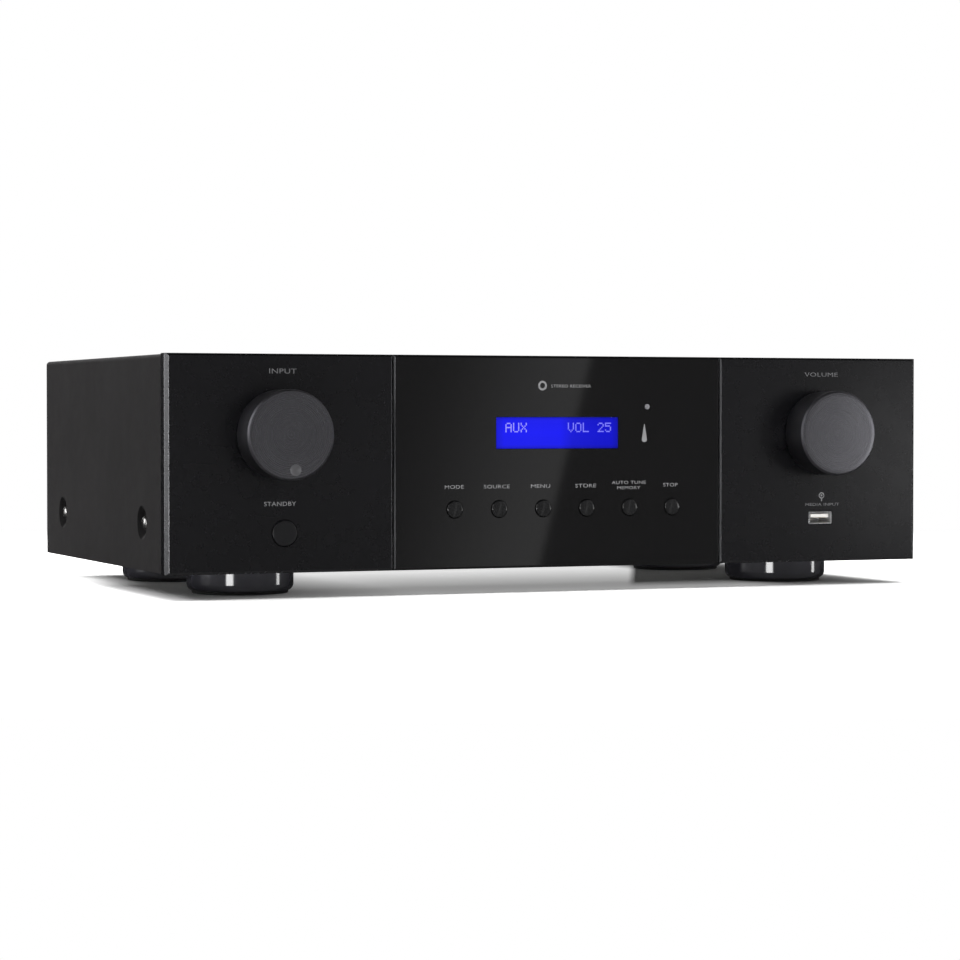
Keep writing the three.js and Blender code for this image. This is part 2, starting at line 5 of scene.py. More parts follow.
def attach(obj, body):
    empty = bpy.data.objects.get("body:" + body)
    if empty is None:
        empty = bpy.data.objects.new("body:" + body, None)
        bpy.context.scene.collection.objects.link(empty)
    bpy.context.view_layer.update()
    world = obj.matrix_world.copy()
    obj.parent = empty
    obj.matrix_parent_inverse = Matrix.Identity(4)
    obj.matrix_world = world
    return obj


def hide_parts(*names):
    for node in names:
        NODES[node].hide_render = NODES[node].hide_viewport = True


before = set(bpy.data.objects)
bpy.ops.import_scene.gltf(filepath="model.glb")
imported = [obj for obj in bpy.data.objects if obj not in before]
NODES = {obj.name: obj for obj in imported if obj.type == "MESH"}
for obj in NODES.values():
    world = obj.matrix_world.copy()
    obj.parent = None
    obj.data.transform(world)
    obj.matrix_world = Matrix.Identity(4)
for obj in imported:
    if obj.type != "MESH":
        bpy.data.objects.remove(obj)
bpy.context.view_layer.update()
MM = 0.001
ROOT = "receiver_body"
scene = bpy.context.scene
coll = scene.collection

# --------------------------------------------------------------------------- camera
cam_data = bpy.data.cameras.new("camera")
cam_data.sensor_width = 36.0
cam_data.lens = 106.96
cam_data.clip_start = 0.05
cam_data.clip_end = 50
cam = bpy.data.objects.new("camera", cam_data)
coll.objects.link(cam)
cam.location = (-0.6074, -1.4928, 0.0937)
cam.rotation_euler = (math.radians(90 - 1.333), 0, math.radians(-22.263))
scene.camera = cam

# --------------------------------------------------------------------------- mesh helpers
def link(name, mesh):
    o = bpy.data.objects.new(name, mesh)
    coll.objects.link(o)
    return o


def from_bm(name, bm, smooth=None):
    bmesh.ops.remove_doubles(bm, verts=bm.verts, dist=1e-8)
    bmesh.ops.recalc_face_normals(bm, faces=bm.faces)
    me = bpy.data.meshes.new(name)
    bm.to_mesh(me)
    bm.free()
    o = link(name, me)
    if smooth is not None:
        shade(o, smooth)
    return o


def shade(o, angle=30.0):
    me = o.data
    for p in me.polygons:
        p.use_smooth = True
    me.set_sharp_from_angle(angle=math.radians(angle))


def lathe_bm(profile, n, axis, centre):
    """profile: (radius, height) in mm, open with both ends on the axis, or a closed ring."""
    bm = bmesh.new()
    rings = []
    on_axis = profile[0][0] < 1e-6 and profile[-1][0] < 1e-6
    pts = list(profile)
    for r, h in pts:
        if r < 1e-6:
            rings.append([bm.verts.new((0, 0, h * MM))])
        else:
            rings.append([bm.verts.new((r * MM * math.cos(2 * math.pi * i / n), r * MM * math.sin(2 * math.pi * i / n), h * MM)) for i in range(n)])
    pairs = list(zip(rings, rings[1:]))
    if not on_axis:
        pairs.append((rings[-1], rings[0]))
    for a, b in pairs:
        for i in range(n):
            j = (i + 1) % n
            if len(a) == 1 and len(b) == 1:
                continue
            if len(a) == 1:
                bm.faces.new((a[0], b[i], b[j]))
            elif len(b) == 1:
                bm.faces.new((a[i], b[0], a[j]))
            else:
                bm.faces.new((a[i], b[i], b[j], a[j]))
    if axis == "y":
        bmesh.ops.rotate(bm, verts=bm.verts, cent=(0, 0, 0), matrix=Matrix.Rotation(math.radians(-90), 3, "X"))
    elif axis == "-y":
        bmesh.ops.rotate(bm, verts=bm.verts, cent=(0, 0, 0), matrix=Matrix.Rotation(math.radians(90), 3, "X"))
    elif axis == "x":
        bmesh.ops.rotate(bm, verts=bm.verts, cent=(0, 0, 0), matrix=Matrix.Rotation(math.radians(90), 3, "Y"))
    elif axis == "-x":
        bmesh.ops.rotate(bm, verts=bm.verts, cent=(0, 0, 0), matrix=Matrix.Rotation(math.radians(-90), 3, "Y"))
    bmesh.ops.translate(bm, verts=bm.verts, vec=Vector(centre) * MM)
    return bm


def lathe(name, profile, n, axis, centre, smooth=30):
    return from_bm(name, lathe_bm(profile, n, axis, centre), smooth)


def rounded(profile, r, seg=3, closed=False):
    """profile with each inner corner rounded by radius r (mm)."""
    out = []
    m = len(profile)
    for i, p in enumerate(profile):
        if not closed and i in (0, m - 1):
            out.append(p)
            continue
        a, b = Vector(profile[i - 1]), Vector(profile[(i + 1) % m])
        c = Vector(p)
        u, v = (a - c), (b - c)
        k = min(r, u.length * 0.45, v.length * 0.45)
        if k < 1e-4:
            out.append(p)
            continue
        s, e = c + u.normalized() * k, c + v.normalized() * k
        for t in range(seg + 1):
            w = t / seg
            q = s * (1 - w) ** 2 + c * 2 * w * (1 - w) + e * w ** 2
            out.append((q.x, q.y))
    return out


def prism_bm(pts, a0, a1, plane):
    """closed prism from an outline in mm; plane 'xy' runs along z, 'xz' along y, 'yz' along x."""
    bm = bmesh.new()
    def at(p, h):
        u, v = p
        return {"xy": (u, v, h), "xz": (u, h, v), "yz": (h, u, v)}[plane]
    lo = [bm.verts.new(Vector(at(p, a0)) * MM) for p in pts]
    hi = [bm.verts.new(Vector(at(p, a1)) * MM) for p in pts]
    bm.faces.new(lo)
    bm.faces.new(hi[::-1])
    n = len(pts)
    for i in range(n):
        j = (i + 1) % n
        bm.faces.new((lo[i], hi[i], hi[j], lo[j]))
    return bm


def box_bm(x0, x1, y0, y1, z0, z1):
    return prism_bm([(x0, y0), (x1, y0), (x1, y1), (x0, y1)], z0, z1, "xy")


def merged(bms):
    """several bmeshes as one object mesh data (for cutters)."""
    out = bmesh.new()
    for b in bms:
        bmesh.ops.recalc_face_normals(b, faces=b.faces)
        me = bpy.data.meshes.new("tmp")
        b.to_mesh(me)
        b.free()
        out.from_mesh(me)
        bpy.data.meshes.remove(me)
    return out


def apply_modifiers(o):
    dg = bpy.context.evaluated_depsgraph_get()
    me = bpy.data.meshes.new_from_object(o.evaluated_get(dg))
    old = o.data
    o.modifiers.clear()
    o.data = me
    bpy.data.meshes.remove(old)


def boolean(o, bms, op="DIFFERENCE"):
    bm = merged(bms)
    bmesh.ops.recalc_face_normals(bm, faces=bm.faces)
    me = bpy.data.meshes.new("cutter")
    bm.to_mesh(me)
    bm.free()
    c = link("cutter", me)
    m = o.modifiers.new("b", "BOOLEAN")
    m.operation = op
    m.solver = "EXACT"
    m.object = c
    bpy.context.view_layer.update()
    apply_modifiers(o)
    bpy.data.objects.remove(c)
    bpy.data.meshes.remove(me)


def chamfered_plate(name, x0, x1, y0, y1, z0, z1, planes):
    """box cut by planes (point, normal outward) and closed again as its convex hull."""
    bm = box_bm(x0, x1, y0, y1, z0, z1)
    for co, no in planes:
        geom = bm.verts[:] + bm.edges[:] + bm.faces[:]
        bmesh.ops.bisect_plane(bm, geom=geom, dist=1e-9, plane_co=Vector(co) * MM, plane_no=Vector(no).normalized(), clear_outer=True)
    pts = [v.co.copy() for v in bm.verts]
    bm.free()
    hull = bmesh.new()
    for p in pts:
        hull.verts.new(p)
    bmesh.ops.remove_doubles(hull, verts=hull.verts, dist=1e-7)
    res = bmesh.ops.convex_hull(hull, input=hull.verts)
    bmesh.ops.dissolve_limit(hull, angle_limit=math.radians(0.5), verts=hull.verts, edges=hull.edges)
    return from_bm(name, hull)


def edge_soften(o, width=0.2, seg=2, angle=28, weighted=True):
    b = o.modifiers.new("edge", "BEVEL")
    b.width = width * MM
    b.segments = seg
    b.limit_method = "ANGLE"
    b.angle_limit = math.radians(angle)
    b.harden_normals = True
    b.miter_outer = "MITER_ARC"
    if weighted:
        for p in o.data.polygons:
            p.use_smooth = True
        w = o.modifiers.new("wn", "WEIGHTED_NORMAL")
        w.keep_sharp = True
        w.weight = 80


def cad_soften(o, width=0.25, seg=2, angle=25):
    """CAD node kept as it is, with its straight edges eased."""
    w = o.modifiers.new("weld", "WELD")
    w.merge_threshold = 1e-6
    d = o.modifiers.new("planar", "DECIMATE")
    d.decimate_type = "DISSOLVE"
    d.angle_limit = math.radians(0.6)
    b = o.modifiers.new("edge", "BEVEL")
    b.width = width * MM
    b.segments = seg
    b.limit_method = "ANGLE"
    b.angle_limit = math.radians(angle)


def circle(r, cx, cz, n=48):
    return [(cx + r * math.cos(2 * math.pi * i / n), cz + r * math.sin(2 * math.pi * i / n)) for i in range(n)]


def rounded_rect(x0, x1, y0, y1, r, seg=5):
    pts = []
    for cx, cy, a in ((x1 - r, y1 - r, 0), (x0 + r, y1 - r, 90), (x0 + r, y0 + r, 180), (x1 - r, y0 + r, 270)):
        for i in range(seg + 1):
            t = math.radians(a + 90 * i / seg)
            pts.append((cx + r * math.cos(t), cy + r * math.sin(t)))
    return pts


# --------------------------------------------------------------------------- materials
def node_material(name):
    m = bpy.data.materials.new(name)
    m.use_nodes = True
    nt = m.node_tree
    return m, nt, nt.nodes["Principled BSDF"]


def add(nt, kind, **props):
    n = nt.nodes.new(kind)
    for k, v in props.items():
        if k in n.inputs:
            n.inputs[k].default_value = v
        else:
            setattr(n, k, v)
    return n


def coords(nt, scale=(1, 1, 1), rot=(0, 0, 0)):
    tc = nt.nodes.new("ShaderNodeTexCoord")
    mp = nt.nodes.new("ShaderNodeMapping")
    mp.inputs["Scale"].default_value = scale
    mp.inputs["Rotation"].default_value = rot
    nt.links.new(tc.outputs["Object"], mp.inputs["Vector"])
    return mp.outputs["Vector"]


def noise(nt, vec, scale, detail=3.0, rough=0.55):
    n = nt.nodes.new("ShaderNodeTexNoise")
    n.inputs["Scale"].default_value = scale
    n.inputs["Detail"].default_value = detail
    n.inputs["Roughness"].default_value = rough
    nt.links.new(vec, n.inputs["Vector"])
    return n.outputs["Fac"]


def ramp(nt, fac, stops):
    r = nt.nodes.new("ShaderNodeValToRGB")
    el = r.color_ramp.elements
    while len(el) < len(stops):
        el.new(0.5)
    for e, (p, c) in zip(el, stops):
        e.position = p
        e.color = (*c, 1.0) if len(c) == 3 else c
    nt.links.new(fac, r.inputs["Fac"])
    return r.outputs["Color"]


def maprange(nt, fac, a, b, lo=0.3, hi=0.7):
    m = nt.nodes.new("ShaderNodeMapRange")
    m.inputs["From Min"].default_value = lo
    m.inputs["From Max"].default_value = hi
    m.inputs["To Min"].default_value = a
    m.inputs["To Max"].default_value = b
    nt.links.new(fac, m.inputs["Value"])
    return m.outputs["Result"]


def tint(c, k):
    return tuple(max(0.0, min(1.0, v * k)) for v in c)


def surface(name, color, rough, metal=0.0, coat=0.0, coat_rough=0.05, ior=1.5, var=0.12, var_scale=60.0,
            rough_var=0.04, grain=1400.0, bump=0.05, dist=0.00003, spec=0.5, stretch=(1, 1, 1), aniso=0.0):
    """general hard surface: soft colour drift, roughness drift, and a fine surface texture."""
    m, nt, b = node_material(name)
    vec = coords(nt)
    drift = noise(nt, vec, var_scale, 4.0)
    col = ramp(nt, drift, [(0.3, tint(color, 1 - var)), (0.7, tint(color, 1 + var))])
    nt.links.new(col, b.inputs["Base Color"])
    smear = noise(nt, vec, var_scale * 2.3, 5.0, 0.6)
    nt.links.new(maprange(nt, smear, max(0.02, rough - rough_var), rough + rough_var), b.inputs["Roughness"])
    fine_vec = coords(nt, stretch)
    fine = noise(nt, fine_vec, grain, 2.0)
    bp = nt.nodes.new("ShaderNodeBump")
    bp.inputs["Strength"].default_value = bump
    bp.inputs["Distance"].default_value = dist
    nt.links.new(fine, bp.inputs["Height"])
    nt.links.new(bp.outputs["Normal"], b.inputs["Normal"])
    b.inputs["Metallic"].default_value = metal
    b.inputs["IOR"].default_value = ior
    b.inputs["Specular IOR Level"].default_value = spec
    b.inputs["Coat Weight"].default_value = coat
    b.inputs["Coat Roughness"].default_value = coat_rough
    if aniso:
        b.inputs["Anisotropic"].default_value = aniso
    return m


MATS = {}
MATS["faceplate"] = surface("anodised_black", (0.0038, 0.0037, 0.0045), 0.27, metal=0.0, spec=0.32, var=0.07, var_scale=25, rough_var=0.03, grain=2600, bump=0.22, dist=0.00002)
MATS["window"] = surface("gloss_acrylic", (0.0016, 0.0015, 0.0017), 0.022, var=0.1, var_scale=14, rough_var=0.005, grain=30, bump=0.006, dist=0.0001)
MATS["cover"] = surface("cover_paint", (0.0130, 0.0123, 0.0126), 0.6, spec=0.1, var=0.08, var_scale=18, rough_var=0.05, grain=1700, bump=0.45, dist=0.00004)
# a darker copy of the cover paint: painted shade for the rear half of each side hollow
MATS["cover_painted_shade"] = surface("cover_painted_shade", (0.0042, 0.0040, 0.0041), 0.7, spec=0.04, var=0.08, var_scale=18, rough_var=0.05, grain=1700, bump=0.45, dist=0.00004)
MATS["rear"] = surface("rear_paint", (0.022, 0.0215, 0.021), 0.5, var=0.1, var_scale=20, rough_var=0.05, grain=1900, bump=0.4, dist=0.00004)
MATS["edge"] = surface("cut_edge", (0.105, 0.105, 0.110), 0.26, metal=1.0, var=0.08, var_scale=120, rough_var=0.04, grain=2600, bump=0.03, dist=0.00001)
MATS["seam_edge"] = surface("seam_edge", (0.078, 0.078, 0.082), 0.32, metal=1.0, var=0.08, var_scale=120, rough_var=0.04, grain=2600, bump=0.03, dist=0.00001)
MATS["plate_top"] = surface("plate_top", (0.0060, 0.0058, 0.0064), 0.7, metal=0.0, spec=0.02, var=0.07, var_scale=25, rough_var=0.03, grain=2600, bump=0.22, dist=0.00002)
MATS["knob_side"] = surface("knob_side", (0.090, 0.089, 0.098), 0.42, metal=0.97, var=0.06, var_scale=40, grain=900, bump=0.25, dist=0.00002, stretch=(3, 0.25, 3))
MATS["steel"] = surface("zinc_steel", (0.42, 0.42, 0.41), 0.36, metal=1.0, var=0.14, var_scale=30, rough_var=0.09, grain=700, bump=0.1)
MATS["usb_metal"] = surface("usb_shell", (0.50, 0.50, 0.51), 0.30, metal=1.0, var=0.06, var_scale=400, rough_var=0.06, grain=3000, bump=0.08)
MATS["screw"] = surface("bright_nickel", (0.36, 0.355, 0.35), 0.36, metal=1.0, var=0.06, var_scale=400, rough_var=0.06, grain=3000, bump=0.08)
MATS["foot"] = surface("foot_gloss", (0.050, 0.049, 0.060), 0.10, var=0.1, var_scale=60, rough_var=0.02, grain=500, bump=0.03, spec=0.5)
MATS["rubber"] = surface("rubber", (0.012, 0.012, 0.012), 0.85, var=0.2, var_scale=200, grain=2500, bump=0.5, dist=0.00006, spec=0.25)
MATS["plastic"] = surface("black_moulding", (0.011, 0.011, 0.0115), 0.48, var=0.15, var_scale=80, rough_var=0.06, grain=2300, bump=0.35, dist=0.00003)
MATS["button"] = surface("button_gloss", (0.004, 0.004, 0.0044), 0.14, var=0.15, var_scale=200, rough_var=0.04, grain=900, bump=0.04, coat=0.4)
MATS["button_ring"] = surface("button_ring", (0.30, 0.30, 0.32), 0.24, metal=1.0, var=0.08, var_scale=300, grain=2500, bump=0.1)
MATS["print_dim"] = surface("label_print_dim", (0.03, 0.03, 0.031), 0.5, var=0.06, var_scale=300, grain=3000, bump=0.2)
MATS["standby"] = surface("standby_satin", (0.0060, 0.0058, 0.0070), 0.38, spec=0.4, var=0.1, var_scale=120, grain=2400, bump=0.2, dist=0.00002)
MATS["red"] = surface("lever_red", (0.42, 0.018, 0.014), 0.28, var=0.12, var_scale=150, rough_var=0.05, grain=1500, bump=0.08)
MATS["white"] = surface("insulator_white", (0.72, 0.71, 0.68), 0.38, var=0.05, var_scale=150, grain=1500, bump=0.08)
MATS["board"] = surface("solder_mask", (0.02, 0.10, 0.045), 0.35, var=0.3, var_scale=180, rough_var=0.1, grain=400, bump=0.4, dist=0.0001)
MATS["alu"] = surface("extruded_aluminium", (0.34, 0.34, 0.35), 0.4, metal=1.0, var=0.08, var_scale=60, grain=900, bump=0.3, stretch=(1, 1, 0.05))
MATS["ribbon"] = surface("ribbon_grey", (0.42, 0.42, 0.44), 0.5, var=0.2, var_scale=30, grain=800, bump=0.5, dist=0.0002, stretch=(1, 0.02, 0.02))
MATS["print"] = surface("label_print", (0.13, 0.13, 0.135), 0.55, var=0.06, var_scale=300, grain=3000, bump=0.2)
MATS["print_white"] = surface("label_print_white", (0.55, 0.55, 0.55), 0.5, var=0.05, var_scale=300, grain=3000, bump=0.2)
MATS["print_bright"] = surface("label_print_bright", (0.20, 0.20, 0.205), 0.5, var=0.06, var_scale=300, grain=3000, bump=0.2)
# the knob's finger dimple: a lighter, less metallic finish than the knob face
MATS["dimple"] = surface("dimple_lighter_metal", (0.12, 0.12, 0.126), 0.42, metal=0.6, var=0.08, var_scale=200, grain=2500, bump=0.15)
# a lighter, less metallic copy of the shell metal: painted reflection inside the USB socket
MATS["usb_inner_painted_sheen"] = surface("usb_inner_painted_sheen", (0.62, 0.62, 0.63), 0.42, metal=0.35, var=0.08, var_scale=300, rough_var=0.06, grain=2500, bump=0.1)
MATS["contact_blade"] = surface("nickel_blade", (0.55, 0.54, 0.52), 0.30, metal=1.0, var=0.1, var_scale=200, rough_var=0.05, grain=2500, bump=0.1)
MATS["gold"] = surface("gold_plate", (0.78, 0.55, 0.22), 0.22, metal=1.0, var=0.08, var_scale=400, rough_var=0.05, grain=2500, bump=0.1)


def spun_face(name):
    """satin turned face: very fine concentric rings about the knob's axis."""
    m, nt, b = node_material(name)
    tc = nt.nodes.new("ShaderNodeTexCoord")
    sep = nt.nodes.new("ShaderNodeSeparateXYZ")
    nt.links.new(tc.outputs["Object"], sep.inputs[0])
    def sub(a, v):
        n = nt.nodes.new("ShaderNodeMath"); n.operation = "SUBTRACT"; n.inputs[1].default_value = v
        nt.links.new(a, n.inputs[0]); return n.outputs[0]
    # distance from the nearer knob axis
    ax = nt.nodes.new("ShaderNodeMath"); ax.operation = "ABSOLUTE"
    nt.links.new(sep.outputs["X"], ax.inputs[0])
    dx = sub(ax.outputs[0], 0.1555)
    dz = sub(sep.outputs["Z"], 0.0831)
    comb = nt.nodes.new("ShaderNodeCombineXYZ")
    nt.links.new(dx, comb.inputs[0]); nt.links.new(dz, comb.inputs[2])
    ln = nt.nodes.new("ShaderNodeVectorMath"); ln.operation = "LENGTH"
    nt.links.new(comb.outputs[0], ln.inputs[0])
    one = nt.nodes.new("ShaderNodeCombineXYZ")
    nt.links.new(ln.outputs["Value"], one.inputs[0])
    rings = nt.nodes.new("ShaderNodeTexNoise")
    rings.noise_dimensions = "1D"
    rings.inputs["Scale"].default_value = 4200.0
    rings.inputs["Detail"].default_value = 2.0
    nt.links.new(ln.outputs["Value"], rings.inputs["W"])
    vec = coords(nt)
    drift = noise(nt, vec, 45, 4)
    col = ramp(nt, drift, [(0.3, (0.150, 0.149, 0.163)), (0.7, (0.169, 0.168, 0.183))])
    nt.links.new(col, b.inputs["Base Color"])
    nt.links.new(maprange(nt, rings.outputs["Fac"], 0.22, 0.29), b.inputs["Roughness"])
    bp = nt.nodes.new("ShaderNodeBump")
    bp.inputs["Strength"].default_value = 0.16
    bp.inputs["Distance"].default_value = 0.00002
    nt.links.new(rings.outputs["Fac"], bp.inputs["Height"])
    nt.links.new(bp.outputs["Normal"], b.inputs["Normal"])
    b.inputs["Metallic"].default_value = 0.97
    return m


MATS["knob_face"] = spun_face("knob_face")


def display_glass():
    """lit blue character display: even backlight, faint grid of unlit dots, soft edge fall-off."""
    m, nt, b = node_material("display_blue")
    x0, x1, z0, z1 = -0.0364, 0.0332, 0.0754, 0.0918
    tc = nt.nodes.new("ShaderNodeTexCoord")
    sep = nt.nodes.new("ShaderNodeSeparateXYZ")
    nt.links.new(tc.outputs["Object"], sep.inputs[0])
    def math_(op, a, v=None, v2=None):
        n = nt.nodes.new("ShaderNodeMath"); n.operation = op
        if hasattr(a, "links"): nt.links.new(a, n.inputs[0])
        else: n.inputs[0].default_value = a
        if v is not None:
            if hasattr(v, "links"): nt.links.new(v, n.inputs[1])
            else: n.inputs[1].default_value = v
        return n.outputs[0]
    u = math_("MULTIPLY", math_("SUBTRACT", sep.outputs["X"], x0), 1 / (x1 - x0))
    v = math_("MULTIPLY", math_("SUBTRACT", sep.outputs["Z"], z0), 1 / (z1 - z0))
    # brightness drops a little from left to right and at the rim
    along = ramp(nt, u, [(0.0, (0.72, 0.72, 0.72)), (0.06, (1, 1, 1)), (0.52, (1.0, 1.0, 1.0)), (0.62, (0.74, 0.74, 0.74)), (0.95, (0.66, 0.66, 0.66)), (1.0, (0.45, 0.45, 0.45))])
    up = ramp(nt, v, [(0.0, (0.55, 0.55, 0.55)), (0.12, (0.92, 0.92, 0.92)), (0.5, (1, 1, 1)), (0.9, (0.92, 0.92, 0.92)), (1.0, (0.55, 0.55, 0.55))])
    mul = nt.nodes.new("ShaderNodeMix"); mul.data_type = "RGBA"; mul.blend_type = "MULTIPLY"
    mul.inputs["Factor"].default_value = 1.0
    nt.links.new(along, mul.inputs["A"]); nt.links.new(up, mul.inputs["B"])
    # dot grid
    gx = math_("FRACT", math_("MULTIPLY", math_("SUBTRACT", sep.outputs["X"], -0.03515), 1 / 0.00073))
    gz = math_("FRACT", math_("MULTIPLY", math_("SUBTRACT", sep.outputs["Z"], 0.07616), 1 / 0.00073))
    cell = math_("MULTIPLY", math_("LESS_THAN", gx, 0.86), math_("LESS_THAN", gz, 0.86))
    grid = maprange(nt, cell, 0.93, 1.0, 0.0, 1.0)
    mul2 = nt.nodes.new("ShaderNodeMix"); mul2.data_type = "RGBA"; mul2.blend_type = "MULTIPLY"
    mul2.inputs["Factor"].default_value = 1.0
    nt.links.new(mul.outputs["Result"], mul2.inputs["A"]); nt.links.new(grid, mul2.inputs["B"])
    col = nt.nodes.new("ShaderNodeMix"); col.data_type = "RGBA"; col.blend_type = "MULTIPLY"
    col.inputs["Factor"].default_value = 1.0
    col.inputs["B"].default_value = (0.004, 0.006, 0.90, 1)
    nt.links.new(mul2.outputs["Result"], col.inputs["A"])
    nt.links.new(col.outputs["Result"], b.inputs["Emission Color"])
    b.inputs["Emission Strength"].default_value = 1.0
    b.inputs["Base Color"].default_value = (0.002, 0.002, 0.02, 1)
    b.inputs["Specular IOR Level"].default_value = 0.2
    nt.links.new(maprange(nt, noise(nt, coords(nt), 60), 0.05, 0.09), b.inputs["Roughness"])
    return m


def glow(name, color, strength, base=(0.05, 0.05, 0.05)):
    m, nt, b = node_material(name)
    vec = coords(nt)
    col = ramp(nt, noise(nt, vec, 900, 2), [(0.3, tint(color, 0.9)), (0.7, tint(color, 1.05))])
    nt.links.new(col, b.inputs["Emission Color"])
    b.inputs["Emission Strength"].default_value = strength
    b.inputs["Base Color"].default_value = (*base, 1)
    nt.links.new(maprange(nt, noise(nt, vec, 500), 0.2, 0.3), b.inputs["Roughness"])
    return m


MATS["display"] = display_glass()
MATS["glyph"] = glow("display_glyph", (0.30, 0.28, 1.0), 1.0)
MATS["glyph_dim"] = glow("display_glyph_dim", (0.17, 0.17, 1.0), 1.0)
MATS["lamp"] = surface("lamp_lens", (0.16, 0.16, 0.17), 0.25, var=0.1, var_scale=600, grain=900, bump=0.05, coat=0.5)


def winding_material():
    m, nt, b = node_material("winding_tape")
    vec = coords(nt, (1, 1, 1))
    wave = nt.nodes.new("ShaderNodeTexWave")
    wave.inputs["Scale"].default_value = 90
    wave.inputs["Distortion"].default_value = 2.5
    nt.links.new(vec, wave.inputs["Vector"])
    col = ramp(nt, wave.outputs["Fac"], [(0.0, (0.36, 0.17, 0.04)), (1.0, (0.62, 0.36, 0.10))])
    nt.links.new(col, b.inputs["Base Color"])
    nt.links.new(maprange(nt, noise(nt, vec, 200), 0.3, 0.5), b.inputs["Roughness"])
    bp = nt.nodes.new("ShaderNodeBump"); bp.inputs["Strength"].default_value = 0.4; bp.inputs["Distance"].default_value = 0.0003
    nt.links.new(wave.outputs["Fac"], bp.inputs["Height"]); nt.links.new(bp.outputs["Normal"], b.inputs["Normal"])
    return m


MATS["winding"] = winding_material()


def paint(o, key):
    o.data.materials.clear()
    o.data.materials.append(MATS[key])


def piece(o, body, key, *replaced, slot=None):
    paint(o, key)
    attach(o, body)
    if replaced:
        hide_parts(*replaced)
    return o


def cad(node, key, soften=0.25, seg=2, angle=25):
    o = NODES[node]
    for s in o.material_slots:
        s.material = MATS[key]
    if not o.material_slots:
        o.data.materials.append(MATS[key])
    if soften:
        cad_soften(o, soften, seg, angle)


# --------------------------------------------------------------------------- faceplates and window
F, PB, Z0, Z1 = -121.0, -113.0, 13.0, 124.0
HALF, SEAM = 215.0, 93.6


def edge_planes(x0, x1, cl, cr, ct):
    return [
        ((x0 + cl, F, 0), (-1, -1, 0)), ((x1 - cr, F, 0), (1, -1, 0)),
        ((0, F, Z1 - ct), (0, -1, 1)), ((0, F, Z0 + ct), (0, -1, -1)),
    ]


def hole(r, x, z, n=64):
    return prism_bm(circle(r, x, z, n), F - 3, PB + 3, "xz")


plate_l = chamfered_plate("faceplate_left_shell", -HALF, -SEAM - 0.15, F, PB, Z0, Z1, edge_planes(-HALF, -SEAM - 0.15, 2.0, 1.0, 1.2))
boolean(plate_l, [hole(7.6, -155.5, 83.1, 48), hole(6.85, -152.6, 33.2)])
edge_soften(plate_l, 0.22)
piece(plate_l, ROOT, "faceplate", "faceplate_left", slot="faceplate")

plate_r = chamfered_plate("faceplate_right_shell", SEAM + 0.15, HALF, F, PB, Z0, Z1, edge_planes(SEAM + 0.15, HALF, 1.0, 2.0, 1.2))
UX, UZ, UW, UH = 155.2, 36.8, 14.2, 6.8
boolean(plate_r, [hole(7.6, 155.5, 83.1, 48),
                  prism_bm(rounded_rect(UX - UW / 2 - 0.3, UX + UW / 2 + 0.3, UZ - UH / 2 - 0.3, UZ + UH / 2 + 0.3, 0.9), F - 3, PB + 3, "xz")])
edge_soften(plate_r, 0.22)
piece(plate_r, ROOT, "faceplate", "faceplate_right", slot="faceplate")

BX = [-60, -35, -10, 15, 40, 65]
BZ, BR = 44.0, 4.3
LENS = (-36.4, 33.2, 75.4, 91.8)
win = chamfered_plate("display_window_shell", -SEAM + 0.15, SEAM - 0.15, F, PB, Z0, Z1, edge_planes(-SEAM + 0.15, SEAM - 0.15, 0.8, 0.8, 1.2))
boolean(win, [hole(BR + 0.4, x, BZ) for x in BX]
        + [prism_bm(rounded_rect(LENS[0] - 0.25, LENS[1] + 0.25, LENS[2] - 0.25, LENS[3] + 0.25, 0.3, 3), F - 3, PB + 3, "xz"),
           hole(1.75, 50.5, 97.4, 32)])
edge_soften(win, 0.2)
piece(win, ROOT, "window", "display_window", slot="gloss_window")

cad("display_lens", "display", 0.15, 2)
cad("display_module", "steel", 0)
led = lathe("status_lens", rounded([(0, 0.05), (1.5, 0.05), (1.5, 14), (0, 14)], 0.4, 4), 40, "y", (50.5, F, 97.4))
piece(led, ROOT, "lamp", "status_led", slot="lamp_lens")

for plate in (plate_l, plate_r):
    plate.data.materials.append(MATS["edge"])
    plate.data.materials.append(MATS["seam_edge"])
    plate.data.materials.append(MATS["plate_top"])
    for p in plate.data.polygons:
        n = p.normal
        if n.z > 0.95:
            p.material_index = 3
        if n.y < -0.3 and n.y > -0.95:
            p.material_index = 1 if abs(p.center.x) > 0.2125 or abs(n.z) > 0.3 else 2
win.data.materials.append(MATS["seam_edge"])
win.data.materials.append(MATS["plate_top"])
for p in win.data.polygons:
    if p.normal.z > 0.95:
        p.material_index = 2
    if -0.95 < p.normal.y < -0.3 and abs(p.normal.x) > 0.3 and abs(p.center.x) > 0.0925:
        p.material_index = 1

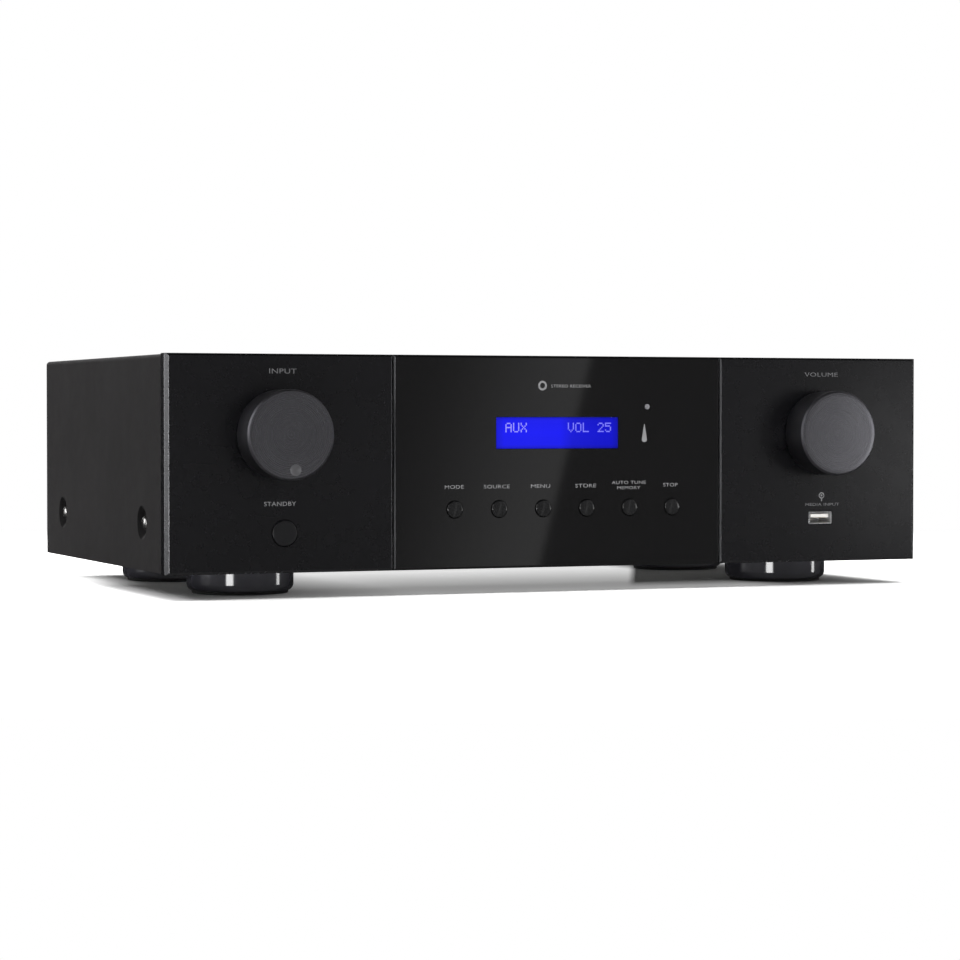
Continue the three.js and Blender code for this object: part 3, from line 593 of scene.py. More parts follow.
# --------------------------------------------------------------------------- knobs
def knob(name, x, body, with_dimple):
    r, depth = 22.8, 19.2
    prof = [(0, 0)]
    prof += [(r * t, 0.0) for t in (0.2, 0.4, 0.6, 0.75, 0.86)]
    prof += [(r - 1.15, 0.0), (r - 0.95, 0.04), (r - 0.25, 0.62), (r - 0.06, 0.85), (r, 1.15), (r, depth - 1.0), (r - 0.1, depth - 0.75),
             (r - 0.6, depth - 0.1), (r - 0.9, depth), (11.2, depth), (11, depth - 0.2), (11, depth - 6), (3.3, depth - 6), (3.3, 5), (0, 5)]
    o = lathe(name, prof, 128, "y", (x, -141.0, 83.1), smooth=25)
    if with_dimple:
        bm = bmesh.new()
        bmesh.ops.create_uvsphere(bm, u_segments=64, v_segments=32, radius=5.2 * MM)
        bmesh.ops.translate(bm, verts=bm.verts, vec=Vector((x + 2.2, -141.0 - 4.3, 83.1 - 17.6)) * MM)
        boolean(o, [bm])
        shade(o, 20)
    me = o.data
    me.materials.clear()
    me.materials.append(MATS["knob_face"])
    me.materials.append(MATS["knob_side"])
    me.materials.append(MATS["dimple"])
    for p in me.polygons:
        c = p.center
        rad = math.hypot(c.x - x * MM, c.z - 83.1 * MM)
        p.material_index = 0 if (c.y < -0.1398 and rad < 0.02195) else 1
        if with_dimple and math.hypot(c.x - (x + 2.2) * MM, c.z - (83.1 - 17.6) * MM) < 0.0029 and p.normal.y > -0.9995:
            p.material_index = 2
    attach(o, body)
    return o


k = knob("selector_knob_turned", -155.5, "selector", True)
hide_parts("selector_knob")
k = knob("volume_knob_turned", 155.5, "volume", False)
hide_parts("volume_knob")
for n in ("selector_shaft", "volume_shaft", "selector_encoder", "volume_encoder", "selector_encoder_nut", "volume_encoder_nut"):
    cad(n, "steel", 0)

# --------------------------------------------------------------------------- buttons
def button(name, x, z, r, proud, body, node, key, ring_key, flange):
    L = proud + 121 - 112.55
    prof = [(0, 0.0), (r * 0.2, 0.012), (r * 0.4, 0.05), (r * 0.6, 0.115), (r * 0.76, 0.19), (r - 0.6, 0.26), (r - 0.3, 0.36), (r - 0.1, 0.52), (r, 0.75),
            (r, L), (flange, L), (flange, L + 1.0), (1.6, L + 1.0), (1.6, L + 3.85), (0, L + 3.85)]
    o = lathe(name, prof, 72, "y", (x, F - proud, z), smooth=35)
    me = o.data
    me.materials.clear()
    me.materials.append(MATS[key]); me.materials.append(MATS[ring_key])
    for p in me.polygons:
        c = p.center
        rad = math.hypot(c.x - x * MM, c.z - z * MM)
        p.material_index = 1 if (c.y < (F - proud + 0.6) * MM and rad > (r - 0.78) * MM) else 0
    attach(o, body)
    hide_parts(node)
    return o


for i, x in enumerate(BX):
    button(f"function_cap_{i+1}", x, BZ, BR, 1.1, f"function_key_{i+1}", f"function_button_{i+1}", "button", "button", 5.3)
button("standby_cap", -152.6, 33.2, 6.5, 0.8, "standby_key", "standby_button", "standby", "standby", 7.8)

# --------------------------------------------------------------------------- cover
CX, CT = 214.2, 1.0
YB0, YB1, CZ0, CZ1 = -112.7, 129.0, 13.4, 123.7
R = 2.2
outer, inner = [], []
for sx in (1, -1):
    a0 = 0 if sx > 0 else 90
    for i in range(7):
        t = math.radians(a0 + 90 * i / 6)
        outer.append((sx * (CX - R) + R * math.cos(t), CZ1 - R + R * math.sin(t)))
        inner.append((sx * (CX - R) + (R - CT) * math.cos(t), CZ1 - R + (R - CT) * math.sin(t)))
profile = [(CX, CZ0)] + outer + [(-CX, CZ0), (-CX + CT, CZ0)] + inner[::-1] + [(CX - CT, CZ0)]
cover = from_bm("cover_shell", prism_bm(profile, YB0, YB1, "xz"))
DIM = [(s, y) for s in (-1, 1) for y in (-75.0, 91.0)]


def dimple_profile(extra):
    pts = []
    n = 12
    for i in range(n + 1):
        w = i / n
        rr = 9.1 - w * (9.1 - 4.3)
        h = 2.5 * (3 * w * w - 2 * w ** 3)
        pts.append((rr + extra, h))
    return pts


bumps, hollows = [], []
for s, y in DIM:
    ax = "x" if s < 0 else "-x"
    wall = [(max(r_, 0.001), h + 1.0) for r_, h in dimple_profile(0.35)]
    bumps.append(lathe_bm([(0, 0.5), (9.45, 0.5)] + [w for w in wall] + [(0, 3.5)], 56, ax, (s * CX, y, 37.9)))
    hollows.append(lathe_bm([(0, -1.0), (9.9, -1.0), (9.9, -0.004)] + [(r_, h - 0.004) for r_, h in dimple_profile(0.0)] + [(0, 2.5)], 56, ax, (s * CX, y, 37.9)))
boolean(cover, bumps, "UNION")
cuts = hollows
for i in range(11):
    for y0, y1 in ((-92, -40), (30, 82)):
        cuts.append(prism_bm(rounded_rect(-61.8 + i * 15, -58.2 + i * 15, y0, y1, 1.75, 5), 119, 128, "xy"))
boolean(cover, cuts)
bm_holes = [lathe_bm([(0, -1), (2, -1), (2, 8), (0, 8)], 32, "x" if s < 0 else "-x", (s * CX, y, 37.9)) for s, y in DIM]
boolean(cover, bm_holes)
shade(cover, 32)
wn = cover.modifiers.new("wn", "WEIGHTED_NORMAL")
wn.keep_sharp = True
wn.weight = 90
piece(cover, ROOT, "cover", "top_cover", slot="cover")
# painted shade: the rear half of each hollow, which faces away from the light, gets a darker copy of the cover paint
cover.data.materials.append(MATS["cover_painted_shade"])
for p in cover.data.polygons:
    c, nrm = p.center, p.normal
    if abs(c.x) < (CX - 0.02) * MM and c.x * nrm.x > 0 and nrm.y < -0.04:
        if min(math.hypot(c.y - y * MM, c.z - 37.9 * MM) for _, y in DIM) < 0.0093:
            p.material_index = 1

# cover screws with cross recess
for side, s in (("left", -1), ("right", 1)):
    for end, y in (("front", -75.0), ("rear", 91.0)):
        ax = "x" if s < 0 else "-x"
        base = s * (214.2 - 2.5)
        sc = lathe(f"screw_{end}_{side}", [(0, -2.4), (0.9, -2.37), (1.9, -2.2), (2.6, -1.85), (3.1, -1.35), (3.28, -0.9), (3.3, -0.35), (3.2, -0.3), (1.6, -0.3), (1.6, 6.6), (1.2, 7), (0, 7)], 48, ax, (base, y, 37.9))
        cross = []
        for w, h in ((0.38, 1.6), (1.6, 0.38)):
            x_out = base + s * 3.0
            x_in = base + s * 1.2
            cross.append(box_bm(min(x_out, x_in), max(x_out, x_in), y - w, y + w, 37.9 - h, 37.9 + h))
        boolean(sc, [cross[0]]); boolean(sc, [cross[1]])
        shade(sc, 30)
        piece(sc, ROOT, "screw", f"cover_screw_{end}_{side}", slot="bright_screw")

# --------------------------------------------------------------------------- feet
for nm, x, y in (("front_left", -158, -63.0), ("front_right", 158, -63.0), ("rear_left", -158, 64.0), ("rear_right", 158, 64.0)):
    prof = [(2.3, 13.7), (27.3, 13.7), (27.85, 13.5), (28.0, 13.3), (28.0, 13.0), (28.0, 5.4), (28.0, 5.1), (27.93, 4.4), (27.7, 3.6), (27.3, 2.9), (26.8, 2.3), (26.25, 1.85), (25.8, 1.6),
            (25.5, 1.5), (25.5, 3.3), (11.7, 3.3), (11.7, 1.45), (2.3, 1.45)]
    f = lathe(f"foot_body_{nm}", prof, 128, "z", (x, y, 0), smooth=35)
    piece(f, ROOT, "foot", f"foot_{nm}", slot="foot")
    pad_prof = rounded([(12, 0), (25.2, 0), (25.2, 3.0), (12, 3.0)], 0.5, 4, closed=True)
    p = lathe(f"pad_{nm}", pad_prof, 96, "z", (x, y, 0), smooth=40)
    piece(p, ROOT, "rubber", f"foot_pad_{nm}", slot="foot_pad")

# --------------------------------------------------------------------------- USB socket
USB_Y0, USB_Y1 = F + 0.1, -104.2
usb = from_bm("usb_shell", prism_bm(rounded_rect(UX - UW / 2, UX + UW / 2, UZ - UH / 2, UZ + UH / 2, 0.7, 4), USB_Y0, USB_Y1, "xz"))
boolean(usb, [prism_bm(rounded_rect(UX - UW / 2 + 0.62, UX + UW / 2 - 0.62, UZ - UH / 2 + 0.62, UZ + UH / 2 - 0.62, 0.4, 4), F - 1, -107.5, "xz")])
edge_soften(usb, 0.14, 3)
piece(usb, ROOT, "usb_metal", "usb_socket")
# painted reflection: the inside of the socket shell is given a lighter, less metallic paint in place of the bright
# front light it would mirror
usb.data.materials.append(MATS["usb_inner_painted_sheen"])
for p in usb.data.polygons:
    c = p.center
    if abs(c.x - UX * MM) < (UW / 2 - 0.45) * MM and abs(c.z - UZ * MM) < (UH / 2 - 0.45) * MM and c.y > -0.1208:
        p.material_index = 1
tongue = from_bm("usb_tongue", prism_bm(rounded_rect(UX - 5.5, UX + 5.5, UZ + 0.2, UZ + 2.1, 0.3, 3), F + 0.9, -107.3, "xz"))
edge_soften(tongue, 0.12, 2)
piece(tongue, ROOT, "white")
contacts = from_bm("usb_contacts", merged([box_bm(UX + dx - 0.5, UX + dx + 0.5, F + 1.6, -108, UZ + 0.02, UZ + 0.22) for dx in (-3.5, -1.0, 1.0, 3.5)]))
piece(contacts, ROOT, "gold")

# --------------------------------------------------------------------------- rear
cad("rear_panel", "rear", 0.1, 1)
cad("mains_inlet", "plastic", 0.35, 3)
cad("mains_switch_housing", "plastic", 0.35, 3)
cad("mains_rocker", "button", 0.4, 3)
cad("speaker_terminal_block", "plastic", 0.25, 2)
for i in range(1, 5):
    cad(f"speaker_lever_{i}", "red" if i % 2 == 0 else "plastic", 0.35, 3, 30)
cad("chassis_base", "steel", 0.12, 1)
for n, k_ in (("front_subpanel", "steel"), ("front_board", "board"), ("main_board", "board"), ("input_board", "board"), ("toroid_transformer", "winding"),
              ("transformer_clamp", "steel"), ("transformer_bolt", "screw"), ("filter_capacitor_1", "button"), ("filter_capacitor_2", "button"),
              ("heatsink", "alu"), ("power_module", "plastic"), ("tuner_module", "steel"), ("ribbon_cable", "ribbon")):
    cad(n, k_, 0)
JX, JZ = (56, 76, 96, 116), (58, 80)
block = from_bm("phono_block", box_bm(JX[0] - 10, JX[3] + 10, 105.4, 127.2, JZ[0] - 10, JZ[1] + 10))
boolean(block, [lathe_bm([(0, 0), (3.6, 0), (3.6, 9.4), (0, 9.4)], 40, "y", (x, 126.6, z)) for x in JX for z in JZ], "UNION")
boolean(block, [lathe_bm([(0, 0), (1.7, 0), (1.7, 8), (0, 8)], 28, "y", (x, 130.0, z)) for x in JX for z in JZ])
edge_soften(block, 0.15, 2)
piece(block, ROOT, "plastic", "input_jack_block")
shell_profile = rounded([(3.45, 2.0), (4.2, 2.0), (4.2, 11.6), (3.45, 11.6)], 0.3, 3, closed=True)
for z, nm in ((80, "left"), (58, "right")):
    rings = merged([lathe_bm(shell_profile, 48, "y", (x, 126.5, z)) for x in JX])
    o = from_bm(f"phono_shells_{nm}", rings, 35)
    piece(o, ROOT, "contact_blade")
    flange = merged([lathe_bm(rounded([(4.3, 2.22), (6.3, 2.22), (6.3, 3.5), (5.9, 4.0), (4.3, 4.0)], 0.3, 3, closed=True), 48, "y", (x, 126.5, z)) for x in JX])
    o = from_bm(f"phono_rings_{nm}", flange, 35)
    piece(o, ROOT, "white" if nm == "left" else "red")

# antenna socket: plate, threaded barrel, insulated centre
AX_, AZ_ = 160, 70
thread = [(1.9, 141.0), (4.1, 141.0), (4.45, 140.7)]
yy = 140.3
while yy > 132.2:
    thread += [(4.8, yy), (4.38, yy - 0.42)]
    yy -= 0.84
thread += [(4.5, 131.4), (6.2, 131.3), (6.6, 131.0), (6.6, 129.2), (4.8, 129.2), (4.8, 109.0), (1.9, 109.0)]
ant = from_bm("antenna_barrel", lathe_bm([(r_, y_ - 109.0) for r_, y_ in thread], 64, "y", (AX_, 109.0, AZ_)), 30)
piece(ant, ROOT, "screw", "antenna_socket")
ant_plate = from_bm("antenna_plate", prism_bm(rounded_rect(AX_ - 10, AX_ + 10, AZ_ - 10, AZ_ + 10, 1.5, 5), 129.0, 130.5, "xz"))
boolean(ant_plate, [prism_bm(circle(5.1, AX_, AZ_, 48), 128, 132, "xz")] + [prism_bm(circle(1.3, AX_ + sx * 7.6, AZ_ + sz * 7.6, 24), 128, 132, "xz") for sx in (-1, 1) for sz in (-1, 1)])
edge_soften(ant_plate, 0.2, 2)
piece(ant_plate, ROOT, "steel")
ant_core = from_bm("antenna_insulator", lathe_bm([(0.55, 0), (1.88, 0), (1.88, 26), (0.55, 26)], 32, "y", (AX_, 113.6, AZ_)), 30)
piece(ant_core, ROOT, "white")

# flat pins of the mains inlet, bright over their mouldings
pins = from_bm("inlet_blades", merged([box_bm(-168 + a - 0.06, -168 + b + 0.06, 113.2, 125.66, 58 + c - 0.06, 58 + d + 0.06)
                                       for a, b, c, d in ((-8, -6, -4.5, -0.5), (6, 8, -4.5, -0.5), (-1, 1, 0.5, 4.5))]))
edge_soften(pins, 0.15, 2)
piece(pins, ROOT, "contact_blade")

# rear panel screws
def panel_screw(name, x, z):
    sc = lathe(name, [(0, 1.55), (0.8, 1.52), (1.6, 1.36), (2.2, 1.02), (2.5, 0.6), (2.55, 0.0), (1.5, -0.02), (1.5, -1.6), (0, -1.6)], 40, "y", (x, 128.72, z))
    boolean(sc, [box_bm(x - 0.3, x + 0.3, 129.6, 131, z - 1.35, z + 1.35)])
    boolean(sc, [box_bm(x - 1.35, x + 1.35, 129.6, 131, z - 0.3, z + 0.3)])
    shade(sc, 30)
    piece(sc, ROOT, "screw")


for i, (x, z) in enumerate([(-204, 21), (-204, 115), (-90, 21), (-90, 115), (24, 21), (24, 115), (204, 21), (204, 115), (48, 94), (124, 94), (86, 69), (140, 21)]):
    if (x, z) != (140, 21):
        panel_screw(f"panel_screw_{i+1}", x, z)

# --------------------------------------------------------------------------- printed marks
def text(name, words, x, z, width, y=F, key="print", height=None, facing="front", spacing=1.05):
    cu = bpy.data.curves.new(name, "FONT")
    cu.body = words
    cu.align_x = "CENTER"
    cu.align_y = "CENTER"
    cu.space_character = spacing
    cu.resolution_u = 3
    o = bpy.data.objects.new(name, cu)
    coll.objects.link(o)
    bpy.context.view_layer.update()
    dg = bpy.context.evaluated_depsgraph_get()
    me = bpy.data.meshes.new_from_object(o.evaluated_get(dg))
    bpy.data.objects.remove(o)
    xs = [v.co.x for v in me.vertices]; ys = [v.co.y for v in me.vertices]
    w, h = max(xs) - min(xs), max(ys) - min(ys)
    cx, cy = (max(xs) + min(xs)) / 2, (max(ys) + min(ys)) / 2
    sx = width * MM / w
    sy = sx if height is None else height * MM / h
    bm = bmesh.new()
    bm.from_mesh(me)
    bpy.data.meshes.remove(me)
    bmesh.ops.remove_doubles(bm, verts=bm.verts, dist=1e-6)
    for v in bm.verts:
        v.co = Vector(((v.co.x - cx) * sx, (v.co.y - cy) * sy, 0))
    ext = bmesh.ops.extrude_face_region(bm, geom=bm.faces[:])
    bmesh.ops.translate(bm, verts=[g for g in ext["geom"] if isinstance(g, bmesh.types.BMVert)], vec=(0, 0, 0.00005))
    rot = Matrix.Rotation(math.radians(90), 4, "X")
    if facing == "rear":
        rot = Matrix.Rotation(math.radians(180), 4, "Z") @ rot
    bm.transform(Matrix.Translation(Vector((x, y, z)) * MM) @ rot)
    o = from_bm(name, bm)
    paint(o, key)
    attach(o, ROOT)
    return o


def mark(name, bms, key="print", body=ROOT):
    o = from_bm(name, merged(bms))
    paint(o, key)
    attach(o, body)
    return o


def ring_bm(x, z, r0, r1, y0=F - 0.045, y1=F + 0.02, n=48):
    return lathe_bm([(r0, 0), (r1, 0), (r1, y1 - y0), (r0, y1 - y0)], n, "y", (x, y0, z))


def capsule(x, z, w, h, seg=8):
    return rounded_rect(x - w / 2, x + w / 2, z - h / 2, z + h / 2, w / 2 - 1e-3, seg)


YT = F + 0.01
text("mark_input", "INPUT", -153.4, 115.2, 14.5, y=YT, height=2.5)
text("mark_standby", "STANDBY", -155.0, 48.1, 17.0, y=YT, height=2.2, key="print_bright")
text("mark_volume", "VOLUME", 155.5, 115.0, 20.5, y=YT, height=2.3)
text("mark_media", "MEDIA INPUT", 156.4, 44.1, 21.0, y=YT, height=1.5)
mark("mark_media_icon", [ring_bm(155.9, 49.0, 1.15, 1.7), prism_bm(circle(0.55, 155.9, 49.0, 24), F - 0.04, F + 0.02, "xz"),
                         box_bm(155.6, 156.2, F - 0.04, F + 0.02, 45.9, 47.2)], "print_bright")
text("mark_title", "STEREO RECEIVER", 6.0, 108.2, 23.0, y=YT, height=1.55, key="print_bright")
mark("mark_title_ring", [ring_bm(-10.4, 108.4, 1.45, 2.5)], "print_bright")
labels = [("MODE", -60.2, 10.6), ("SOURCE", -36.3, 14.7), ("MENU", -11.5, 10.9), ("STORE", 14.5, 12.0), (None, 39.6, 20.6), ("STOP", 64.1, 8.6)]
for i, (w, x, wd) in enumerate(labels):
    if w:
        text(f"mark_key_{i+1}", w, x, 55.7, wd, y=YT, height=1.9, key="print_bright")
text("mark_key_5a", "AUTO TUNE", 39.6, 57.2, 20.0, y=YT, height=1.7, key="print_bright")
text("mark_key_5b", "MEMORY", 39.6, 54.4, 13.5, y=YT, height=1.6, key="print_bright")
def drop(x, z0, z1, r, seg=14):
    """teardrop outline: round foot at z0, point at z1."""
    pts = []
    for i in range(seg + 1):
        t = math.radians(200 + 140 * i / seg)
        pts.append((x + r * math.cos(t), z0 + r + r * math.sin(t)))
    pts.append((x + r * 0.55, z0 + (z1 - z0) * 0.55))
    pts.append((x + 0.12, z1))
    pts.append((x - 0.12, z1))
    pts.append((x - r * 0.55, z0 + (z1 - z0) * 0.55))
    return pts


mark("mark_wireless", [prism_bm(drop(48.7, 78.6, 88.2, 1.65), F - 0.04, F + 0.02, "xz")], "print_bright")


YR = 128.69
for i, x in enumerate(JX):
    text(f"rear_input_{i+1}", str(4 - i), x, 98.2, 2.0 if i < 3 else 1.1, y=YR, height=3.0, facing="rear", key="print_white")
text("rear_left", "L", 133.5, 80, 1.9, y=YR, height=3.0, facing="rear", key="print_white")
text("rear_right", "R", 133.5, 58, 2.3, y=YR, height=3.0, facing="rear", key="print_white")
text("rear_inputs", "AUDIO INPUTS", 86, 104.5, 27, y=YR, height=2.7, facing="rear", key="print_white")
text("rear_speakers", "SPEAKERS", -42, 101.0, 21, y=YR, height=2.7, facing="rear", key="print_white")
text("rear_aerial", "FM", 160, 86.5, 5.6, y=YR, height=2.7, facing="rear", key="print_white")
text("rear_power", "POWER", -128, 79.5, 14, y=YR, height=2.7, facing="rear", key="print_white")
for i, (w, x) in enumerate((("-", -70), ("+", -51), ("-", -33), ("+", -14))):
    mark(f"rear_pole_{i+1}", [box_bm(x - 1.7, x + 1.7, YR, YR + 0.06, 43.65, 44.35)] , "print_white")
    if w == "+":
        mark(f"rear_pole_{i+1}_bar", [box_bm(x - 0.35, x + 0.35, YR, YR + 0.07, 42.3, 45.7)], "print_white")
mark("rear_group_frame", [box_bm(44.0, 44.35, YR, YR + 0.06, 45.2, 101.5), box_bm(127.7, 128.05, YR, YR + 0.06, 45.2, 101.5),
                          box_bm(44.35, 127.7, YR, YR + 0.06, 45.2, 45.55), box_bm(44.35, 127.7, YR, YR + 0.06, 101.15, 101.5)], "print_white")

# on and off marks on the mains rocker
TILT = math.radians(8)


def on_rocker(bm, side):
    """lays a mark on the upper (1) or lower (-1) half of the rocker's tipped, hollow face."""
    bmesh.ops.rotate(bm, verts=bm.verts, cent=Vector((0, 131.06, 58 + side * 6)) * MM, matrix=Matrix.Rotation(-side * math.radians(14.5), 3, "X"))
    bmesh.ops.rotate(bm, verts=bm.verts, cent=Vector((0, 126.5, 58)) * MM, matrix=Matrix.Rotation(TILT, 3, "X"))
    return bm


mark("rocker_on", [on_rocker(box_bm(-128.35, -127.65, 130.95, 131.12, 58 + 4.6, 58 + 7.4), 1)], "print_white", "power_rocker")
mark("rocker_off", [on_rocker(ring_bm(-128, 52.0, 1.1, 1.7, 130.95, 131.12), -1)], "print_white", "power_rocker")


# standby pictogram: a ring, on the cap
mark("mark_power", [ring_bm(-152.6, 33.0, 1.75, 2.1, F - 0.8 + 0.14, F - 0.8 + 0.5)], "print_dim", "standby_key")

# --------------------------------------------------------------------------- display characters (5 x 7 dots)
GLYPHS = {
    "A": ["01110", "10001", "10001", "11111", "10001", "10001", "10001"],
    "U": ["10001", "10001", "10001", "10001", "10001", "10001", "01110"],
    "X": ["10001", "10001", "01010", "00100", "01010", "10001", "10001"],
    "V": ["10001", "10001", "10001", "10001", "10001", "01010", "00100"],
    "O": ["01110", "10001", "10001", "10001", "10001", "10001", "01110"],
    "L": ["10000", "10000", "10000", "10000", "10000", "10000", "11111"],
    "2": ["01110", "10001", "00001", "00010", "00100", "01000", "11111"],
    "5": ["11111", "10000", "11110", "00001", "00001", "10001", "01110"],
    " ": ["00000"] * 7,
}


def dots(name, words, x_left, z_top, key, pitch=0.72, step=4.3):
    bm = bmesh.new()
    y0, y1 = -120.86, -120.80
    for ci, ch in enumerate(words):
        for ri, row in enumerate(GLYPHS[ch]):
            for ki, bit in enumerate(row):
                if bit == "1":
                    x = x_left + ci * step + ki * pitch
                    z = z_top - (ri + 1) * pitch
                    s = pitch * 0.88
                    vs = [bm.verts.new(Vector(p) * MM) for p in ((x, y0, z), (x + s, y0, z), (x + s, y0, z + s), (x, y0, z + s), (x, y1, z), (x + s, y1, z), (x + s, y1, z + s), (x, y1, z + s))]
                    for f in ((0, 1, 2, 3), (7, 6, 5, 4), (0, 4, 5, 1), (1, 5, 6, 2), (2, 6, 7, 3), (3, 7, 4, 0)):
                        bm.faces.new([vs[q] for q in f])
    bmesh.ops.recalc_face_normals(bm, faces=bm.faces)
    me = bpy.data.meshes.new(name)
    bm.to_mesh(me)
    bm.free()
    o = link(name, me)
    paint(o, key)
    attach(o, ROOT)
    return o


dots("display_source", "AUX", -31.4, 89.0, "glyph")
dots("display_level", "VOL 25", 4.2, 89.0, "glyph_dim")

# --------------------------------------------------------------------------- stage
GLOSS_BASE = 0.195
GLOSS_FLOOR_LEVEL = 0.02
WINDOW_CARD = 0.52
FOOT_LEFT = 19.0
FOOT_RIGHT = 11.0
SIDE_LEFT = 1.65
SIDE_RIGHT = 1.0
KNOB_LEFT = 8.0
FRONT_RIGHT = 1.75
REAR_GLOSS = 1.2
FLOOR_GLOSS = 0.0
SWEEP = 0.6
DOME = 0.17
TOP_W = 88.0
KEY_W = 12.0
FILL_W = 22.0
# strength of the light painted on the floor under the case
PAINTED_UNDER_LIGHT = 0.74


def stage_plane(name, mat, corners):
    bm = bmesh.new()
    bm.faces.new([bm.verts.new(c) for c in corners])
    me = bpy.data.meshes.new(name)
    bm.to_mesh(me)
    bm.free()
    o = link(name, me)
    o.data.materials.append(mat)
    return o


mfloor, nt, b = node_material("floor_paint")
vec = coords(nt)
nt.links.new(ramp(nt, noise(nt, vec, 6, 2), [(0.3, (0.91, 0.91, 0.91)), (0.7, (0.93, 0.93, 0.93))]), b.inputs["Base Color"])
b.inputs["Roughness"].default_value = 0.9
b.inputs["Specular IOR Level"].default_value = 0.0
# away from the object the sweep is lit to plain white
ftc = nt.nodes.new("ShaderNodeTexCoord")
flen = nt.nodes.new("ShaderNodeVectorMath"); flen.operation = "LENGTH"
nt.links.new(ftc.outputs["Object"], flen.inputs[0])
lit = nt.nodes.new("ShaderNodeEmission")
lit.inputs["Strength"].default_value = 1.0
# painted light: emission on the floor under the case stands in for light spilling through from the bright sweep behind
# it
fsep = nt.nodes.new("ShaderNodeSeparateXYZ")
nt.links.new(ftc.outputs["Object"], fsep.inputs[0])
spill_l = maprange(nt, fsep.outputs["X"], 0.0, 1.0, -0.160, -0.072)
spill_r = maprange(nt, fsep.outputs["X"], 1.0, 0.0, 0.125, 0.150)
spill_x = nt.nodes.new("ShaderNodeMath"); spill_x.operation = "MULTIPLY"
nt.links.new(spill_l, spill_x.inputs[0]); nt.links.new(spill_r, spill_x.inputs[1])
spill_y = maprange(nt, fsep.outputs["Y"], 0.32, 0.97, -0.060, 0.085)
# painted shadow: the painted light is kept off the floor between the two right-hand feet
lee_y = nt.nodes.new("ShaderNodeMath"); lee_y.operation = "MULTIPLY"
nt.links.new(fsep.outputs["Y"], lee_y.inputs[0]); lee_y.inputs[1].default_value = 0.478
lee_x = nt.nodes.new("ShaderNodeMath"); lee_x.operation = "SUBTRACT"
nt.links.new(fsep.outputs["X"], lee_x.inputs[0]); nt.links.new(lee_y.outputs[0], lee_x.inputs[1])
lee_in = maprange(nt, lee_x.outputs[0], 0.0, 1.0, 0.0962, 0.1012)
lee_end = maprange(nt, fsep.outputs["Y"], 0.0, 1.0, -0.092, -0.052)
lee = nt.nodes.new("ShaderNodeMath"); lee.operation = "MULTIPLY"
nt.links.new(lee_in, lee.inputs[0]); nt.links.new(lee_end, lee.inputs[1])
clear = nt.nodes.new("ShaderNodeMath"); clear.operation = "SUBTRACT"
clear.inputs[0].default_value = 1.0; nt.links.new(lee.outputs[0], clear.inputs[1])
spill_c = nt.nodes.new("ShaderNodeMath"); spill_c.operation = "MULTIPLY"
nt.links.new(spill_x.outputs[0], spill_c.inputs[0]); nt.links.new(clear.outputs[0], spill_c.inputs[1])
spill_in = maprange(nt, fsep.outputs["Y"], 0.0, 1.0, -0.124, -0.100)
# more painted light on the floor under its left side towards the rear, where the sweep comes closest
left_x = maprange(nt, fsep.outputs["X"], 0.0, 0.62, -0.180, -0.200)
left_y = maprange(nt, fsep.outputs["Y"], 0.0, 1.0, 0.015, 0.080)
left_z = maprange(nt, fsep.outputs["Y"], 1.0, 0.0, 0.150, 0.300)
sp0 = nt.nodes.new("ShaderNodeMath"); sp0.operation = "MULTIPLY"
sp4 = nt.nodes.new("ShaderNodeMath"); sp4.operation = "MULTIPLY"
nt.links.new(left_x, sp0.inputs[0]); nt.links.new(left_y, sp0.inputs[1])
nt.links.new(sp0.outputs[0], sp4.inputs[0]); nt.links.new(left_z, sp4.inputs[1])
sp1 = nt.nodes.new("ShaderNodeMath"); sp1.operation = "MULTIPLY"
sp2 = nt.nodes.new("ShaderNodeMath"); sp2.operation = "MULTIPLY"
sp3 = nt.nodes.new("ShaderNodeMath"); sp3.operation = "MULTIPLY"
nt.links.new(spill_c.outputs[0], sp1.inputs[0]); nt.links.new(spill_y, sp1.inputs[1])
nt.links.new(sp1.outputs[0], sp2.inputs[0]); nt.links.new(spill_in, sp2.inputs[1])
nt.links.new(sp2.outputs[0], sp3.inputs[0]); sp3.inputs[1].default_value = PAINTED_UNDER_LIGHT
b.inputs["Emission Color"].default_value = (1, 1, 1, 1)
sp5 = nt.nodes.new("ShaderNodeMath"); sp5.operation = "ADD"
nt.links.new(sp3.outputs[0], sp5.inputs[0]); nt.links.new(sp4.outputs[0], sp5.inputs[1])
nt.links.new(sp5.outputs[0], b.inputs["Emission Strength"])
fmix = nt.nodes.new("ShaderNodeMixShader")
nt.links.new(maprange(nt, flen.outputs["Value"], 0.0, 1.0, 0.42, 0.75), fmix.inputs[0])
nt.links.new(b.outputs[0], fmix.inputs[1])
nt.links.new(lit.outputs[0], fmix.inputs[2])
nt.links.new(fmix.outputs[0], nt.nodes["Material Output"].inputs[0])
floor = stage_plane("floor", mfloor, [(-6, -6, -0.0001), (6, -6, -0.0001), (6, 6, -0.0001), (-6, 6, -0.0001)])
floor.visible_glossy = False

world = bpy.data.worlds.new("studio")
scene.world = world
world.use_nodes = True
wt = world.node_tree
wt.nodes.clear()
out = wt.nodes.new("ShaderNodeOutputWorld")
lp = wt.nodes.new("ShaderNodeLightPath")
wtc = wt.nodes.new("ShaderNodeTexCoord")
wsep = wt.nodes.new("ShaderNodeSeparateXYZ")
wt.links.new(wtc.outputs["Generated"], wsep.inputs[0])


def wmath(op, a, b=None):
    n = wt.nodes.new("ShaderNodeMath")
    n.operation = op
    for i, v in enumerate((a, b)):
        if v is None:
            continue
        if hasattr(v, "links"):
            wt.links.new(v, n.inputs[i])
        else:
            n.inputs[i].default_value = v
    return n.outputs[0]


DEG = math.pi / 180
AZ = wmath("ARCTAN2", wsep.outputs["X"], wmath("MULTIPLY", wsep.outputs["Y"], -1.0))   # 0 = in front, + = to the right
EL = wmath("ARCSINE", wsep.outputs["Z"])


